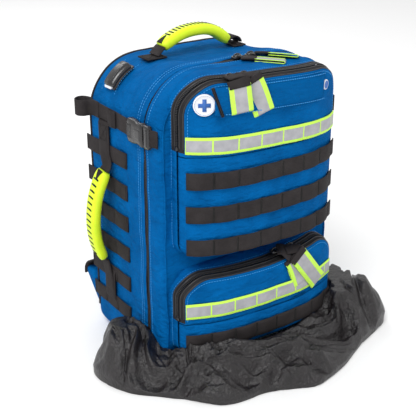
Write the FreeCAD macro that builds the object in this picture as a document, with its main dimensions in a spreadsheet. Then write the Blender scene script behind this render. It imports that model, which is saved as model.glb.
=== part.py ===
import FreeCAD, Part
import math
import os

import Sketcher

# Trauma backpack. Millimetres, +Z up, the front faces -Y, +X is to the right of a person who
# faces the front. The origin is on the ground, under the middle of the pack.
# "Forward" means the distance in front of the origin, so forward = -y, and the back is negative.

DIMENSIONS = {
    # main compartment
    "half_width": 159,
    "pack_top": 458,
    "base_thickness": 3,
    "wall": 4,
    "corner_radius": 85,
    "foot_radius": 22,
    "back_depth": 125,
    "rear_edge_radius": 10,
    "slit_forward": 50,
    "slit_half_gap": 4,
    "zip_clearance": 0.15,
    "zip_inset": 1.5,
    "zip_thickness": 3,
    "sill_top": 22,
    "lid_bottom": 24,
    "lid_forward": 88,
    "lid_edge_radius": 8,
    # pockets on the lid
    "pocket_wall": 3,
    "pocket_foot_radius": 12,
    "rim_depth": 14,
    "pocket_slit": 6,
    "fold_gap": 1.75,
    "upper_half_width": 134,
    "upper_bottom": 205,
    "upper_top": 458,
    "upper_fold": 354,
    "upper_forward": 145,
    "upper_radius": 45,
    "lower_half_width": 139,
    "lower_bottom": 44,
    "lower_top": 172,
    "lower_fold": 94,
    "lower_forward": 143,
    "lower_radius": 40,
    # webbing grid and bands
    "webbing_width": 25.4,
    "webbing_thickness": 2,
    "grid_pitch": 50.8,
    "grid_top": 332,
    "side_grid_length": 121,
    "band_width": 25,
    "band_thickness": 1.2,
    "upper_band_bottom": 357.5,
    "lower_band_bottom": 104,
    # straps, buckles and handles
    "strap_middle": 377,
    "buckle_back": 20,
    "buckle_length": 42,
    "tongue_depth": 12,
    "strap_back": 113,
    "strap_tail": 20,
    "buckle_height": 36,
    "buckle_thickness": 12,
    "handle_middle": 60,
    "grip_width": 28,
    "grip_thickness": 16,
    "side_grip_middle": 217,
    "side_grip_half_length": 77,
    "side_grip_standoff": 31,
    "side_grip_bulge": 17,
    "top_grip_middle": -3,
    "top_grip_half_length": 61,
    "top_grip_thickness": 17,
    "top_grip_bulge": 11,
    "top_grip_height": 487.5,
    "top_leg_length": 20,
    "top_leg_foot": 463.5,
    "top_handle_back": 50,
    "port_front": -46,
    "port_length": 32,
    "port_thickness": 8,
    # zip sliders and pulls
    "slider_length": 14,
    "slider_width": 12,
    "slider_height": 5,
    "main_left_slider": 2,
    "main_right_slider": 26,
    "pull_width": 27,
    "pull_length": 44,
    "pull_stub": 15,
    "pull_thickness": 2,
    "pull_neck": 3,
    "main_pull_half_width": 12,
    "name_panel_left": 95,
    "name_panel_right": 88,
    "name_panel_bottom": 412,
    "name_panel_top": 450,
    "badge_across": -112,
    "badge_height": 434,
    "badge_radius": 15,
    # back and inside
    "back_pad_thickness": 13.8,
    "lumbar_thickness": 18.8,
    "wing_depth": 20.5,
    "shelf_thickness": 5,
    "strap_pad_width": 65,
    "strap_pad_thickness": 12,
    "strap_pad_middle": 295,
    "strap_pad_half_length": 130,
    "strap_pad_bulge": 14,
    "strap_pad_back": 147,
    # rain cover heaped round the base
    "cover_left": 248,
    "cover_right": 240,
    "cover_front": 250,
    "cover_low_height": 38,
    "cover_high_height": 66,
}

FRONT = "XZ_Plane"
SIDE = "YZ_Plane"
GROUND = "XY_Plane"

doc = FreeCAD.newDocument("TraumaBackpack")
dim = doc.addObject("Spreadsheet::Sheet", "dim")
for row, (alias, value) in enumerate(DIMENSIONS.items(), start=1):
    dim.set(f"A{row}", alias)
    dim.set(f"B{row}", str(value))
    dim.setAlias(f"B{row}", alias)
doc.recompute()

nodes = {}


def number(expression):
    """The value of an expression over the sheet's cells."""
    return float(dim.evalExpression(str(expression)))


def keep(label, thing):
    """Makes an object one of the sub-parts that are written out."""
    thing.Label = label
    nodes[label] = thing
    return thing


def new_body(name):
    return doc.addObject("PartDesign::Body", name)


def new_sketch(body, name, role, offset):
    """A sketch on one of the body's origin planes, moved along the plane's normal."""
    sketch = body.newObject("Sketcher::SketchObject", name)
    plane = next(f for f in body.Origin.OriginFeatures if f.Role == role)
    sketch.AttachmentSupport = [(plane, "")]
    sketch.MapMode = "FlatFace"
    sketch.setExpression("AttachmentOffset.Base.z", str(offset))
    return sketch


def place_point(sketch, geometry, point, across, up):
    """Holds a point at two expressions, measured from the sketch's origin."""
    for kind, expression in (("DistanceX", across), ("DistanceY", up)):
        value = number(expression)
        index = sketch.addConstraint(Sketcher.Constraint(kind, -1, 1, geometry, point, value))
        sketch.setExpression(f"Constraints[{index}]", str(expression))


def polygon(body, name, role, offset, corners):
    """A closed outline of straight lines whose corners are bound to the sheet."""
    sketch = new_sketch(body, name, role, offset)
    points = [FreeCAD.Vector(number(a), number(b), 0) for a, b in corners]
    count = len(points)
    for i in range(count):
        sketch.addGeometry(Part.LineSegment(points[i], points[(i + 1) % count]), False)
    for i in range(count):
        sketch.addConstraint(Sketcher.Constraint("Coincident", i, 2, (i + 1) % count, 1))
    for i, (across, up) in enumerate(corners):
        place_point(sketch, i, 1, across, up)
    return sketch


def rounded_rectangle(body, name, role, offset, sides, top_radius, foot_radius=None):
    """A rectangle (left, right, bottom, top) with rounded upper and, if given, lower corners."""
    sketch = new_sketch(body, name, role, offset)
    left, right, bottom, top = sides
    lo, hi = (number(left), number(bottom)), (number(right), number(top))
    radii = [foot_radius, foot_radius, top_radius, top_radius]
    sizes = [number(r) if r else 0 for r in radii]
    corners = [(lo[0], lo[1]), (hi[0], lo[1]), (hi[0], hi[1]), (lo[0], hi[1])]
    along = [(1, 0), (0, 1), (-1, 0), (0, -1)]

    def toward(i, direction, distance):
        x, y = corners[i]
        return FreeCAD.Vector(x + direction[0] * distance, y + direction[1] * distance, 0)

    for i in range(4):
        start = toward(i, along[i], sizes[i])
        end = toward((i + 1) % 4, along[i], -sizes[(i + 1) % 4])
        sketch.addGeometry(Part.LineSegment(start, end), False)
    for i, kind in enumerate(("Horizontal", "Vertical", "Horizontal", "Vertical")):
        sketch.addConstraint(Sketcher.Constraint(kind, i))
    for i in range(4):
        before = (i - 1) % 4
        if not radii[i]:
            sketch.addConstraint(Sketcher.Constraint("Coincident", before, 2, i, 1))
            continue
        inward = (along[i][0] - along[before][0], along[i][1] - along[before][1])
        middle = toward(i, inward, sizes[i])
        circle = Part.Circle(middle, FreeCAD.Vector(0, 0, 1), sizes[i])
        turn = math.radians(180 + 90 * i)
        arc = sketch.addGeometry(Part.ArcOfCircle(circle, turn, turn + math.pi / 2), False)
        sketch.addConstraint(Sketcher.Constraint("Tangent", before, 2, arc, 1))
        sketch.addConstraint(Sketcher.Constraint("Tangent", arc, 2, i, 1))
        index = sketch.addConstraint(Sketcher.Constraint("Radius", arc, sizes[i]))
        sketch.setExpression(f"Constraints[{index}]", str(radii[i]))
    for kind, line, expression in (
        ("DistanceY", 0, bottom),
        ("DistanceX", 1, right),
        ("DistanceY", 2, top),
        ("DistanceX", 3, left),
    ):
        value = number(expression)
        index = sketch.addConstraint(Sketcher.Constraint(kind, -1, 1, line, 1, value))
        sketch.setExpression(f"Constraints[{index}]", str(expression))
    return sketch


def arc_band(body, name, role, offset, middle, half_length, bulge, thickness, direction):
    """A band of one thickness along an arc. middle is the arc's furthest point, and direction
    is the way it bulges: (1, 0), (-1, 0) or (0, 1) in the sketch."""
    sketch = new_sketch(body, name, role, offset)
    radius = f"(({half_length})^2 + ({bulge})^2) / (2 * ({bulge}))"
    centre_at = [f"{middle[i]} - ({direction[i]}) * ({radius})" for i in (0, 1)]
    centre = FreeCAD.Vector(number(centre_at[0]), number(centre_at[1]), 0)
    half_angle = math.asin(number(half_length) / number(radius))
    facing = math.atan2(direction[1], direction[0])
    ends = []
    for sign in (1, -1):
        size = number(radius) + sign * number(thickness) / 2
        circle = Part.Circle(centre, FreeCAD.Vector(0, 0, 1), size)
        arc = Part.ArcOfCircle(circle, facing - half_angle, facing + half_angle)
        sketch.addGeometry(arc, False)
        ends.append([
            centre + FreeCAD.Vector(math.cos(a), math.sin(a), 0) * size
            for a in (facing - half_angle, facing + half_angle)
        ])
    for i in (0, 1):
        sketch.addGeometry(Part.LineSegment(ends[0][i], ends[1][i]), False)
        sketch.addConstraint(Sketcher.Constraint("Coincident", 2 + i, 1, 0, 1 + i))
        sketch.addConstraint(Sketcher.Constraint("Coincident", 2 + i, 2, 1, 1 + i))
    sketch.addConstraint(Sketcher.Constraint("Coincident", 0, 3, 1, 3))
    place_point(sketch, 0, 3, *centre_at)
    for line, arc_sign in ((0, "+"), (1, "-")):
        expression = f"{radius} {arc_sign} {thickness} / 2"
        index = sketch.addConstraint(Sketcher.Constraint("Radius", line, number(expression)))
        sketch.setExpression(f"Constraints[{index}]", expression)
    axis = 0 if direction[1] else 1
    kind = ("DistanceX", "DistanceY")[axis]
    share = f"(1 + {thickness} / (2 * {radius}))"
    for point, turn in ((1, 1), (2, -1)):
        # the end of the outer arc lies on the radius through the end of the middle line
        side = turn * (direction[1] - direction[0])
        expression = f"{middle[axis]} + ({side}) * ({half_length}) * {share}"
        value = number(expression)
        index = sketch.addConstraint(Sketcher.Constraint(kind, -1, 1, 0, point, value))
        sketch.setExpression(f"Constraints[{index}]", expression)
        sketch.addConstraint(Sketcher.Constraint("PointOnObject", 0, 3, 1 + point))
    return sketch


def pad(body, sketch, length, against=False):
    """Grows a sketch along its normal, or against it."""
    feature = body.newObject("PartDesign::Pad", sketch.Name + "Pad")
    feature.Profile = sketch
    feature.setExpression("Length", str(length))
    feature.Reversed = against
    return feature


def cut(body, sketch, depth, along=False):
    """Cuts a sketch out against its normal, or along it, and proves that it took something."""
    doc.recompute()
    before = body.Shape.Volume
    feature = body.newObject("PartDesign::Pocket", sketch.Name + "Cut")
    feature.Profile = sketch
    feature.setExpression("Length", str(depth))
    feature.Reversed = along
    doc.recompute()
    if body.Shape.Volume > before - 1:
        raise ValueError(f"{feature.Name} cuts nothing")
    return feature


def soften(body, radius, wanted=None):
    """Rounds every edge of a body, or only the edges that wanted() picks."""
    doc.recompute()
    base = body.Tip
    feature = body.newObject("PartDesign::Fillet", body.Name + "Rounding")
    if wanted is None:
        feature.Base = (base, [])
        feature.UseAllEdges = True
    else:
        picked = [f"Edge{i}" for i, e in enumerate(base.Shape.Edges, start=1) if wanted(e)]
        feature.Base = (base, picked)
    feature.setExpression("Radius", str(radius))
    return feature


def block(name, across, forward, up, rounding=None):
    """A body that fills three ranges (across X, forward of the origin, up Z)."""
    body = new_body(name)
    corners = [
        (across[0], up[0]),
        (across[1], up[0]),
        (across[1], up[1]),
        (across[0], up[1]),
    ]
    sketch = polygon(body, name + "Outline", FRONT, forward[0], corners)
    pad(body, sketch, f"({forward[1]}) - ({forward[0]})")
    if rounding is not None:
        soften(body, rounding)
    return body


def box(name, across, forward, up):
    """A plain flat piece, such as webbing, that fills three ranges."""
    piece = doc.addObject("Part::Box", name)
    for size, (low, high) in (("Length", across), ("Width", forward), ("Height", up)):
        piece.setExpression(size, f"({high}) - ({low})")
    piece.setExpression("Placement.Base.x", str(across[0]))
    piece.setExpression("Placement.Base.y", f"-({forward[1]})")
    piece.setExpression("Placement.Base.z", str(up[0]))
    return piece


def group(label, pieces):
    """Separate solids that are one node, such as a pair of buckles."""
    compound = doc.addObject("Part::Compound", label)
    compound.Links = pieces
    return keep(label, compound)


def both_sides(low, high, side):
    """A range across X on the right (+1), or its mirror on the left (-1)."""
    if side > 0:
        return (f"{low}", f"{high}")
    return (f"-({high})", f"-({low})")


# ---------------------------------------------------------------- main compartment

RIM = "dim.slit_forward - dim.slit_half_gap"


def make_rear_shell():
    """The bag behind the main zip, with the sill that the lid folds down from."""
    body = new_body("rear_shell")
    outline = ("-dim.half_width", "dim.half_width", "dim.base_thickness", "dim.pack_top")
    sketch = rounded_rectangle(
        body, "ShellOutline", FRONT, "-dim.back_depth", outline, "dim.corner_radius", "dim.foot_radius"
    )
    pad(body, sketch, f"dim.back_depth + {RIM}")
    soften(
        body,
        "dim.rear_edge_radius",
        lambda e: abs(e.BoundBox.YMin - number("dim.back_depth")) < 0.01,
    )
    inside = (
        "-(dim.half_width - dim.wall)",
        "dim.half_width - dim.wall",
        "dim.base_thickness + dim.wall",
        "dim.pack_top - dim.wall",
    )
    sketch = rounded_rectangle(
        body,
        "ShellInside",
        FRONT,
        RIM,
        inside,
        "dim.corner_radius - dim.wall",
        "dim.foot_radius - dim.wall",
    )
    cut(body, sketch, f"dim.back_depth + {RIM} - dim.wall")
    sill = (
        "-(dim.half_width - dim.foot_radius)",
        "dim.half_width - dim.foot_radius",
        "dim.base_thickness",
        "dim.sill_top",
    )
    sill_depth = f"dim.lid_forward - ({RIM})"
    corners = [(sill[0], sill[2]), (sill[1], sill[2]), (sill[1], sill[3]), (sill[0], sill[3])]
    pad(body, polygon(body, "Sill", FRONT, RIM, corners), sill_depth)
    hollow = (
        f"{sill[0]} + dim.wall",
        f"{sill[1]} - dim.wall",
        "dim.base_thickness + dim.wall",
        "dim.sill_top",
    )
    corners = [
        (hollow[0], hollow[2]),
        (hollow[1], hollow[2]),
        (hollow[1], hollow[3]),
        (hollow[0], hollow[3]),
    ]
    cut(body, polygon(body, "SillInside", FRONT, RIM, corners), f"{sill_depth} - dim.wall", True)
    return keep("rear_shell", body)


def make_base_panel():
    """The coated panel that the pack stands on."""
    body = new_body("base_panel")
    sides = ("-125", "125", "-84", "88")
    sketch = rounded_rectangle(body, "BaseOutline", GROUND, "0", sides, "30", "12")
    pad(body, sketch, "dim.base_thickness")
    return keep("base_panel", body)


def zip_band(label, half_width, top, bottom, radius, back, front):
    """Half of a zip: a band that runs up one side, over the top and down the other."""
    body = new_body(label)
    inset = "dim.zip_inset"
    far = "(dim.zip_inset + dim.zip_thickness)"
    outer = (f"-({half_width} - {inset})", f"{half_width} - {inset}", bottom, f"{top} - {inset}")
    inner = (f"-({half_width} - {far})", f"{half_width} - {far}", bottom, f"{top} - {far}")
    sketch = rounded_rectangle(body, label + "Outside", FRONT, back, outer, f"{radius} - {inset}")
    pad(body, sketch, f"({front}) - ({back})")
    sketch = rounded_rectangle(body, label + "Inside", FRONT, back, inner, f"{radius} - {far}")
    cut(body, sketch, f"({front}) - ({back})", True)
    return keep(label, body)


def make_main_zip():
    """The two halves of the main zip, in the slit between the rear shell and the lid."""
    sizes = ("dim.half_width", "dim.pack_top", "dim.lid_bottom", "dim.corner_radius")
    middle = "dim.slit_forward"
    gap = "dim.slit_half_gap"
    zip_band("main_zip_rear", *sizes, f"{middle} - {gap}", f"{middle} - dim.zip_clearance")
    zip_band("main_zip_front", *sizes, f"{middle} + dim.zip_clearance", f"{middle} + {gap}")


def make_lid_shell():
    """The front of the main compartment: a tray, open at its foot, that swings forward."""
    body = new_body("lid_shell")
    start = "dim.slit_forward + dim.slit_half_gap"
    outline = ("-dim.half_width", "dim.half_width", "dim.lid_bottom", "dim.pack_top")
    sketch = rounded_rectangle(body, "LidOutline", FRONT, start, outline, "dim.corner_radius")
    pad(body, sketch, f"dim.lid_forward - ({start})")
    foot = number("dim.lid_bottom")
    soften(
        body,
        "dim.lid_edge_radius",
        lambda e: e.BoundBox.YMax < -number("dim.lid_forward") + 0.01 and e.BoundBox.ZMax > foot + 0.01,
    )
    inside = (
        "-(dim.half_width - dim.wall)",
        "dim.half_width - dim.wall",
        "dim.lid_bottom",
        "dim.pack_top - dim.wall",
    )
    radius = "dim.corner_radius - dim.wall"
    sketch = rounded_rectangle(body, "LidInside", FRONT, start, inside, radius)
    cut(body, sketch, f"dim.lid_forward - ({start}) - dim.wall", True)
    return keep("lid_shell", body)


# ---------------------------------------------------------------- pockets on the lid


def make_pocket(kind):
    """A pocket: the bag on the lid, the upper part of its face as a flap, and the two halves
    of the zip between them."""
    half, low, high, fold, front, radius = (
        f"dim.{kind}_{size}" for size in ("half_width", "bottom", "top", "fold", "forward", "radius")
    )
    flap_back = f"{front} - dim.rim_depth"
    bag_front = f"{flap_back} - dim.pocket_slit"
    wall = "dim.pocket_wall"

    bag = new_body(f"{kind}_pocket")
    outline = (f"-{half}", half, low, high)
    sketch = rounded_rectangle(
        bag, kind + "PocketOutline", FRONT, "dim.lid_forward", outline, radius, "dim.pocket_foot_radius"
    )
    pad(bag, sketch, f"{front} - dim.lid_forward")
    mouth_low = f"{fold} - dim.fold_gap"
    corners = [
        (f"-{half} - 1", mouth_low),
        (f"{half} + 1", mouth_low),
        (f"{half} + 1", f"{high} + 1"),
        (f"-{half} - 1", f"{high} + 1"),
    ]
    sketch = polygon(bag, kind + "PocketMouth", FRONT, front, corners)
    cut(bag, sketch, "dim.rim_depth + dim.pocket_slit")
    inside = (f"-({half} - {wall})", f"{half} - {wall}", f"{low} + {wall}", f"{high} - {wall}")
    sketch = rounded_rectangle(
        bag,
        kind + "PocketInside",
        FRONT,
        "dim.lid_forward",
        inside,
        f"{radius} - {wall}",
        f"dim.pocket_foot_radius - {wall}",
    )
    cut(bag, sketch, f"{front} - dim.lid_forward - {wall}", True)
    keep(f"{kind}_pocket", bag)

    flap = new_body(f"{kind}_flap")
    flap_low = f"{fold} + dim.fold_gap"
    outline = (f"-{half}", half, flap_low, high)
    sketch = rounded_rectangle(flap, kind + "FlapOutline", FRONT, flap_back, outline, radius)
    pad(flap, sketch, "dim.rim_depth")
    inside = (f"-({half} - {wall})", f"{half} - {wall}", flap_low, f"{high} - {wall}")
    sketch = rounded_rectangle(flap, kind + "FlapInside", FRONT, flap_back, inside, f"{radius} - {wall}")
    cut(flap, sketch, f"dim.rim_depth - {wall}", True)
    keep(f"{kind}_flap", flap)

    middle = f"{bag_front} + dim.pocket_slit / 2"
    zip_band(f"{kind}_zip_tape", half, high, mouth_low, radius, bag_front, f"{middle} - dim.zip_clearance")
    zip_band(f"{kind}_flap_zip", half, high, flap_low, radius, f"{middle} + dim.zip_clearance", flap_back)


def make_face_trim():
    """Webbing rows, reflective bands, the name panel and the round badge."""
    thick = "dim.webbing_thickness"
    wide = "dim.webbing_width"
    rows = []
    for row in range(3):
        top = f"dim.grid_top + 1 - {row} * dim.grid_pitch"
        rows.append(
            box(
                f"UpperRow{row}",
                ("-128", "128"),
                ("dim.upper_forward", f"dim.upper_forward + {thick}"),
                (f"{top} - {wide}", top),
            )
        )
    group("upper_webbing_rows", rows)
    low = "dim.grid_top - 5 * dim.grid_pitch"
    face = "dim.lower_forward"
    row = box("lower_webbing_row", ("-130", "130"), (face, f"{face} + {thick}"), (f"{low} - {wide}", low))
    keep("lower_webbing_row", row)
    for kind in ("upper", "lower"):
        face = f"dim.{kind}_forward"
        bottom = f"dim.{kind}_band_bottom"
        half = f"dim.{kind}_half_width - 2"
        band = box(
            f"{kind}_reflective_band",
            (f"-({half})", half),
            (face, f"{face} + dim.band_thickness"),
            (bottom, f"{bottom} + dim.band_width"),
        )
        keep(f"{kind}_reflective_band", band)
    face = "dim.upper_forward"
    sides = ("-dim.name_panel_left", "dim.name_panel_right")
    up = ("dim.name_panel_bottom", "dim.name_panel_top")
    keep("name_panel", box("name_panel", sides, (face, f"{face} + 1.5"), up))
    badge = new_body("round_badge")
    sketch = new_sketch(badge, "BadgeOutline", FRONT, face)
    centre = FreeCAD.Vector(number("dim.badge_across"), number("dim.badge_height"), 0)
    radius = number("dim.badge_radius")
    sketch.addGeometry(Part.Circle(centre, FreeCAD.Vector(0, 0, 1), radius), False)
    place_point(sketch, 0, 3, "dim.badge_across", "dim.badge_height")
    index = sketch.addConstraint(Sketcher.Constraint("Radius", 0, radius))
    sketch.setExpression(f"Constraints[{index}]", "dim.badge_radius")
    pad(badge, sketch, "2")
    keep("round_badge", badge)


# ---------------------------------------------------------------- sides: webbing, straps, handles


def make_side_webbing():
    """Six rows of webbing on each side of the main compartment."""
    rows = []
    face = "dim.half_width"
    across = (face, f"{face} + dim.webbing_thickness")
    for side in (-1, 1):
        for row in range(6):
            top = f"dim.grid_top - {row} * dim.grid_pitch"
            name = f"SideRow{row}{'Left' if side < 0 else 'Right'}"
            up = (f"{top} - dim.webbing_width", top)
            rows.append(box(name, both_sides(*across, side), ("-dim.side_grid_length", "0"), up))
    group("side_webbing_rows", rows)


def make_compression_straps():
    """A strap across the main zip on each side, with a side release buckle."""
    face = "dim.half_width"
    outside = f"{face} + dim.webbing_thickness"
    up = ("dim.strap_middle - dim.webbing_width / 2", "dim.strap_middle + dim.webbing_width / 2")
    buckle_up = ("dim.strap_middle - dim.buckle_height / 2", "dim.strap_middle + dim.buckle_height / 2")
    mouth = "dim.buckle_back + dim.buckle_length"
    tongue = f"{mouth} + 2 + dim.tongue_depth"
    rear, front, females, males = [], [], [], []
    for side in (-1, 1):
        end = "Left" if side < 0 else "Right"
        across = both_sides(face, outside, side)
        rear.append(box("RearStrap" + end, across, ("-dim.strap_back", "dim.buckle_back - 0.2"), up))
        tail = both_sides(face, f"{face} + dim.strap_tail", side)
        rear.append(box("StrapTail" + end, tail, ("-dim.strap_back - 2.5", "-dim.strap_back"), up))
        front.append(box("FrontStrap" + end, across, (f"{tongue} + 0.2", f"{tongue} + 8"), up))

        body = block(
            "FemaleBuckle" + end,
            both_sides(f"{face} + 0.3", f"{face} + dim.buckle_thickness", side),
            ("dim.buckle_back", mouth),
            buckle_up,
            "2.5",
        )
        low, high = both_sides(f"{face} + 3", f"{face} + 9.5", side)
        corners = [
            (low, "dim.strap_middle - 14"),
            (high, "dim.strap_middle - 14"),
            (high, "dim.strap_middle + 14"),
            (low, "dim.strap_middle + 14"),
        ]
        cut(body, polygon(body, "Socket" + end, FRONT, mouth, corners), "30")
        females.append(body)

        body = block(
            "MaleBuckle" + end,
            both_sides(f"{face} + 0.6", f"{face} + 11", side),
            (f"{mouth} + 2", tongue),
            buckle_up,
            "2",
        )
        low, high = both_sides(f"{face} + 4.2", f"{face} + 8.2", side)
        corners = [
            (low, "dim.strap_middle - 11"),
            (high, "dim.strap_middle - 11"),
            (high, "dim.strap_middle + 7"),
            (low, "dim.strap_middle + 7"),
        ]
        sketch = polygon(body, "Tongue" + end, FRONT, f"{mouth} - 24", corners)
        pad(body, sketch, "27")
        males.append(body)
    group("compression_straps", rear)
    group("front_strap_ends", front)
    group("buckle_sockets", females)
    group("buckle_tongues", males)


def make_side_handle(side):
    """A rubber grip on webbing that stands out from the side and swings about a vertical line."""
    end = "left" if side < 0 else "right"
    face = "dim.half_width"
    body = new_body(f"side_grip_{end}")
    half = "dim.grip_width / 2"
    reach = f"({side}) * ({face} + dim.side_grip_standoff)"
    sketch = arc_band(
        body,
        f"SideGrip{end}Arc",
        FRONT,
        f"-(dim.handle_middle + {half})",
        (reach, "dim.side_grip_middle"),
        "dim.side_grip_half_length",
        "dim.side_grip_bulge",
        "dim.grip_thickness",
        (side, 0),
    )
    pad(body, sketch, "dim.grip_width")
    soften(body, "5")
    keep(f"side_grip_{end}", body)

    legs = []
    for place, sign in (("Top", 1), ("Foot", -1)):
        leg = new_body(f"SideLeg{place}{end}")
        near = f"({side}) * ({face} + 4)"
        far = f"({side}) * ({face} + 20)"
        middle = "dim.handle_middle"
        corners = [
            (near, f"{middle} - 2"),
            (far, f"{middle} - 12"),
            (far, f"{middle} + 12"),
            (near, f"{middle} + 2"),
        ]
        reach_up = f"dim.side_grip_middle + ({sign}) * (dim.side_grip_half_length + 8)"
        start = reach_up if sign > 0 else f"{reach_up} - 14"
        pad(leg, polygon(leg, f"SideLeg{place}{end}Outline", GROUND, start, corners), "14")
        legs.append(leg)
    group(f"side_handle_webbing_{end}", legs)


def make_side_anchors():
    """Webbing patches that the side handles are sewn to, between the rows of the grid."""
    patches = []
    face = "dim.half_width"
    forward = (
        "-(dim.handle_middle + dim.webbing_width / 2)",
        "-(dim.handle_middle - dim.webbing_width / 2)",
    )
    for side in (-1, 1):
        end = "Left" if side < 0 else "Right"
        across = both_sides(face, f"{face} + 2.5", side)
        patches.append(box("TopPatch" + end, across, forward, ("333", "362")))
        patches.append(box("FootPatch" + end, across, forward, ("79.5", "102")))
    group("side_handle_anchors", patches)


def make_top_handle():
    """The carrying handle on top: a rubber grip, two webbing legs, and their sewn patches."""
    back = "dim.top_handle_back"
    grip = new_body("top_grip")
    sketch = arc_band(
        grip,
        "TopGripArc",
        FRONT,
        f"-({back} + dim.grip_width / 2)",
        ("dim.top_grip_middle", "dim.top_grip_height"),
        "dim.top_grip_half_length",
        "dim.top_grip_bulge",
        "dim.top_grip_thickness",
        (0, 1),
    )
    pad(grip, sketch, "dim.grip_width")
    soften(grip, "5")
    keep("top_grip", grip)
    reach = "dim.top_grip_half_length + 3.2"
    foot = "dim.top_leg_foot"
    legs, patches = [], []
    for end, start, patch in (
        ("Left", f"dim.top_grip_middle - ({reach}) - dim.top_leg_length", ("-101", "-76")),
        ("Right", f"dim.top_grip_middle + {reach}", ("68", "93")),
    ):
        leg = new_body("TopLeg" + end)
        corners = [
            (f"{back} - 3", foot),
            (f"{back} + 3", foot),
            (f"{back} + 12", f"{foot} + 10.5"),
            (f"{back} + 12", f"{foot} + 16.5"),
            (f"{back} - 12", f"{foot} + 16.5"),
            (f"{back} - 12", f"{foot} + 10.5"),
        ]
        pad(leg, polygon(leg, f"TopLeg{end}Outline", SIDE, start, corners), "dim.top_leg_length")
        legs.append(leg)
        width = (f"-({back} + 13)", f"-({back} - 13)")
        patches.append(box("TopPatch" + end + "Sewn", patch, width, ("dim.pack_top", "dim.pack_top + 2.5")))
    group("top_handle_webbing", legs)
    group("top_handle_anchors", patches)


def make_cable_port():
    """A rubber outlet for a tube or cable, moulded to the pack's upper left shoulder."""
    body = new_body("cable_port")
    sketch = new_sketch(body, "PortSection", FRONT, "dim.port_front - dim.port_length")
    centre_x = "-(dim.half_width - dim.corner_radius)"
    centre_z = "dim.pack_top - dim.corner_radius"
    centre = FreeCAD.Vector(number(centre_x), number(centre_z), 0)
    first, last = math.radians(116), math.radians(152)
    radii = ("dim.corner_radius + 0.1", "dim.corner_radius + dim.port_thickness")
    for radius in radii:
        circle = Part.Circle(centre, FreeCAD.Vector(0, 0, 1), number(radius))
        arc = sketch.addGeometry(Part.ArcOfCircle(circle, first, last), False)
        place_point(sketch, arc, 3, centre_x, centre_z)
        index = sketch.addConstraint(Sketcher.Constraint("Radius", arc, number(radius)))
        sketch.setExpression(f"Constraints[{index}]", radius)
    for point, angle in ((1, first), (2, last)):
        ends = [
            centre + FreeCAD.Vector(math.cos(angle), math.sin(angle), 0) * number(radius)
            for radius in radii
        ]
        line = sketch.addGeometry(Part.LineSegment(*ends), False)
        sketch.addConstraint(Sketcher.Constraint("Coincident", line, 1, 0, point))
        sketch.addConstraint(Sketcher.Constraint("Coincident", line, 2, 1, point))
        sketch.addConstraint(Sketcher.Constraint("PointOnObject", 0, 3, line))
    pad(body, sketch, "dim.port_length")
    soften(body, "2.5")
    keep("cable_port", body)


# ---------------------------------------------------------------- zip sliders and pulls


def make_slider(name, x, slit, top, bail_reach):
    """A zip slider over a slit at the top of a panel. bail_reach is how far forward its bail
    carries the pull, or None where the pull lies on the slider."""
    half = "dim.slider_length / 2"
    wide = "dim.slider_width / 2"
    body = block(
        name,
        (f"{x} - {half}", f"{x} + {half}"),
        (f"{slit} - {wide}", f"{slit} + {wide}"),
        (f"{top} + 0.4", f"{top} + 0.4 + dim.slider_height"),
        "1.2",
    )
    if bail_reach is not None:
        corners = [
            (f"{x} - 3", f"{top} + 2"),
            (f"{x} + 3", f"{top} + 2"),
            (f"{x} + 3", f"{top} + 4"),
            (f"{x} - 3", f"{top} + 4"),
        ]
        pad(body, polygon(body, name + "Bail", FRONT, slit, corners), f"({bail_reach}) - ({slit})")
    return keep(name, body)


def make_hanging_pull(name, x, face, top, slant, length):
    """A webbing pull that hangs in front of a face from a bail at its top. It slants sideways by
    that many degrees: a narrow stub first, then a wide tab."""
    body = new_body(name)
    aside, down = math.sin(math.radians(slant)), math.cos(math.radians(slant))

    def at(along, across):
        """A point a distance along the pull from its bail, and aside from its middle line."""
        right = f"{x} + ({along}) * {aside:.4f} + ({across}) * {down:.4f}"
        return (right, f"{top} + 1 - ({along}) * {down:.4f} + ({across}) * {aside:.4f}")

    half = "dim.pull_width / 2"
    corners = [
        at("1.5", "-2"),
        at("dim.pull_stub", f"-{half}"),
        at(length, f"-{half}"),
        at(length, half),
        at("dim.pull_stub", half),
        at("1.5", "2"),
    ]
    pad(body, polygon(body, name + "Outline", FRONT, face, corners), "dim.pull_thickness")
    return keep(name, body)


def make_pocket_sliders(kind, places):
    """Two sliders on a pocket's zip and their pulls. places gives (side, x, slant, length)."""
    front = f"dim.{kind}_forward"
    slit = f"{front} - dim.rim_depth - dim.pocket_slit / 2"
    top = f"dim.{kind}_top"
    for side, x, slant, length in places:
        make_slider(f"{kind}_slider_{side}", x, slit, top, f"{front} + 4.5")
        make_hanging_pull(f"{kind}_pull_{side}", x, f"{front} + 2.4", top, slant, length)


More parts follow.
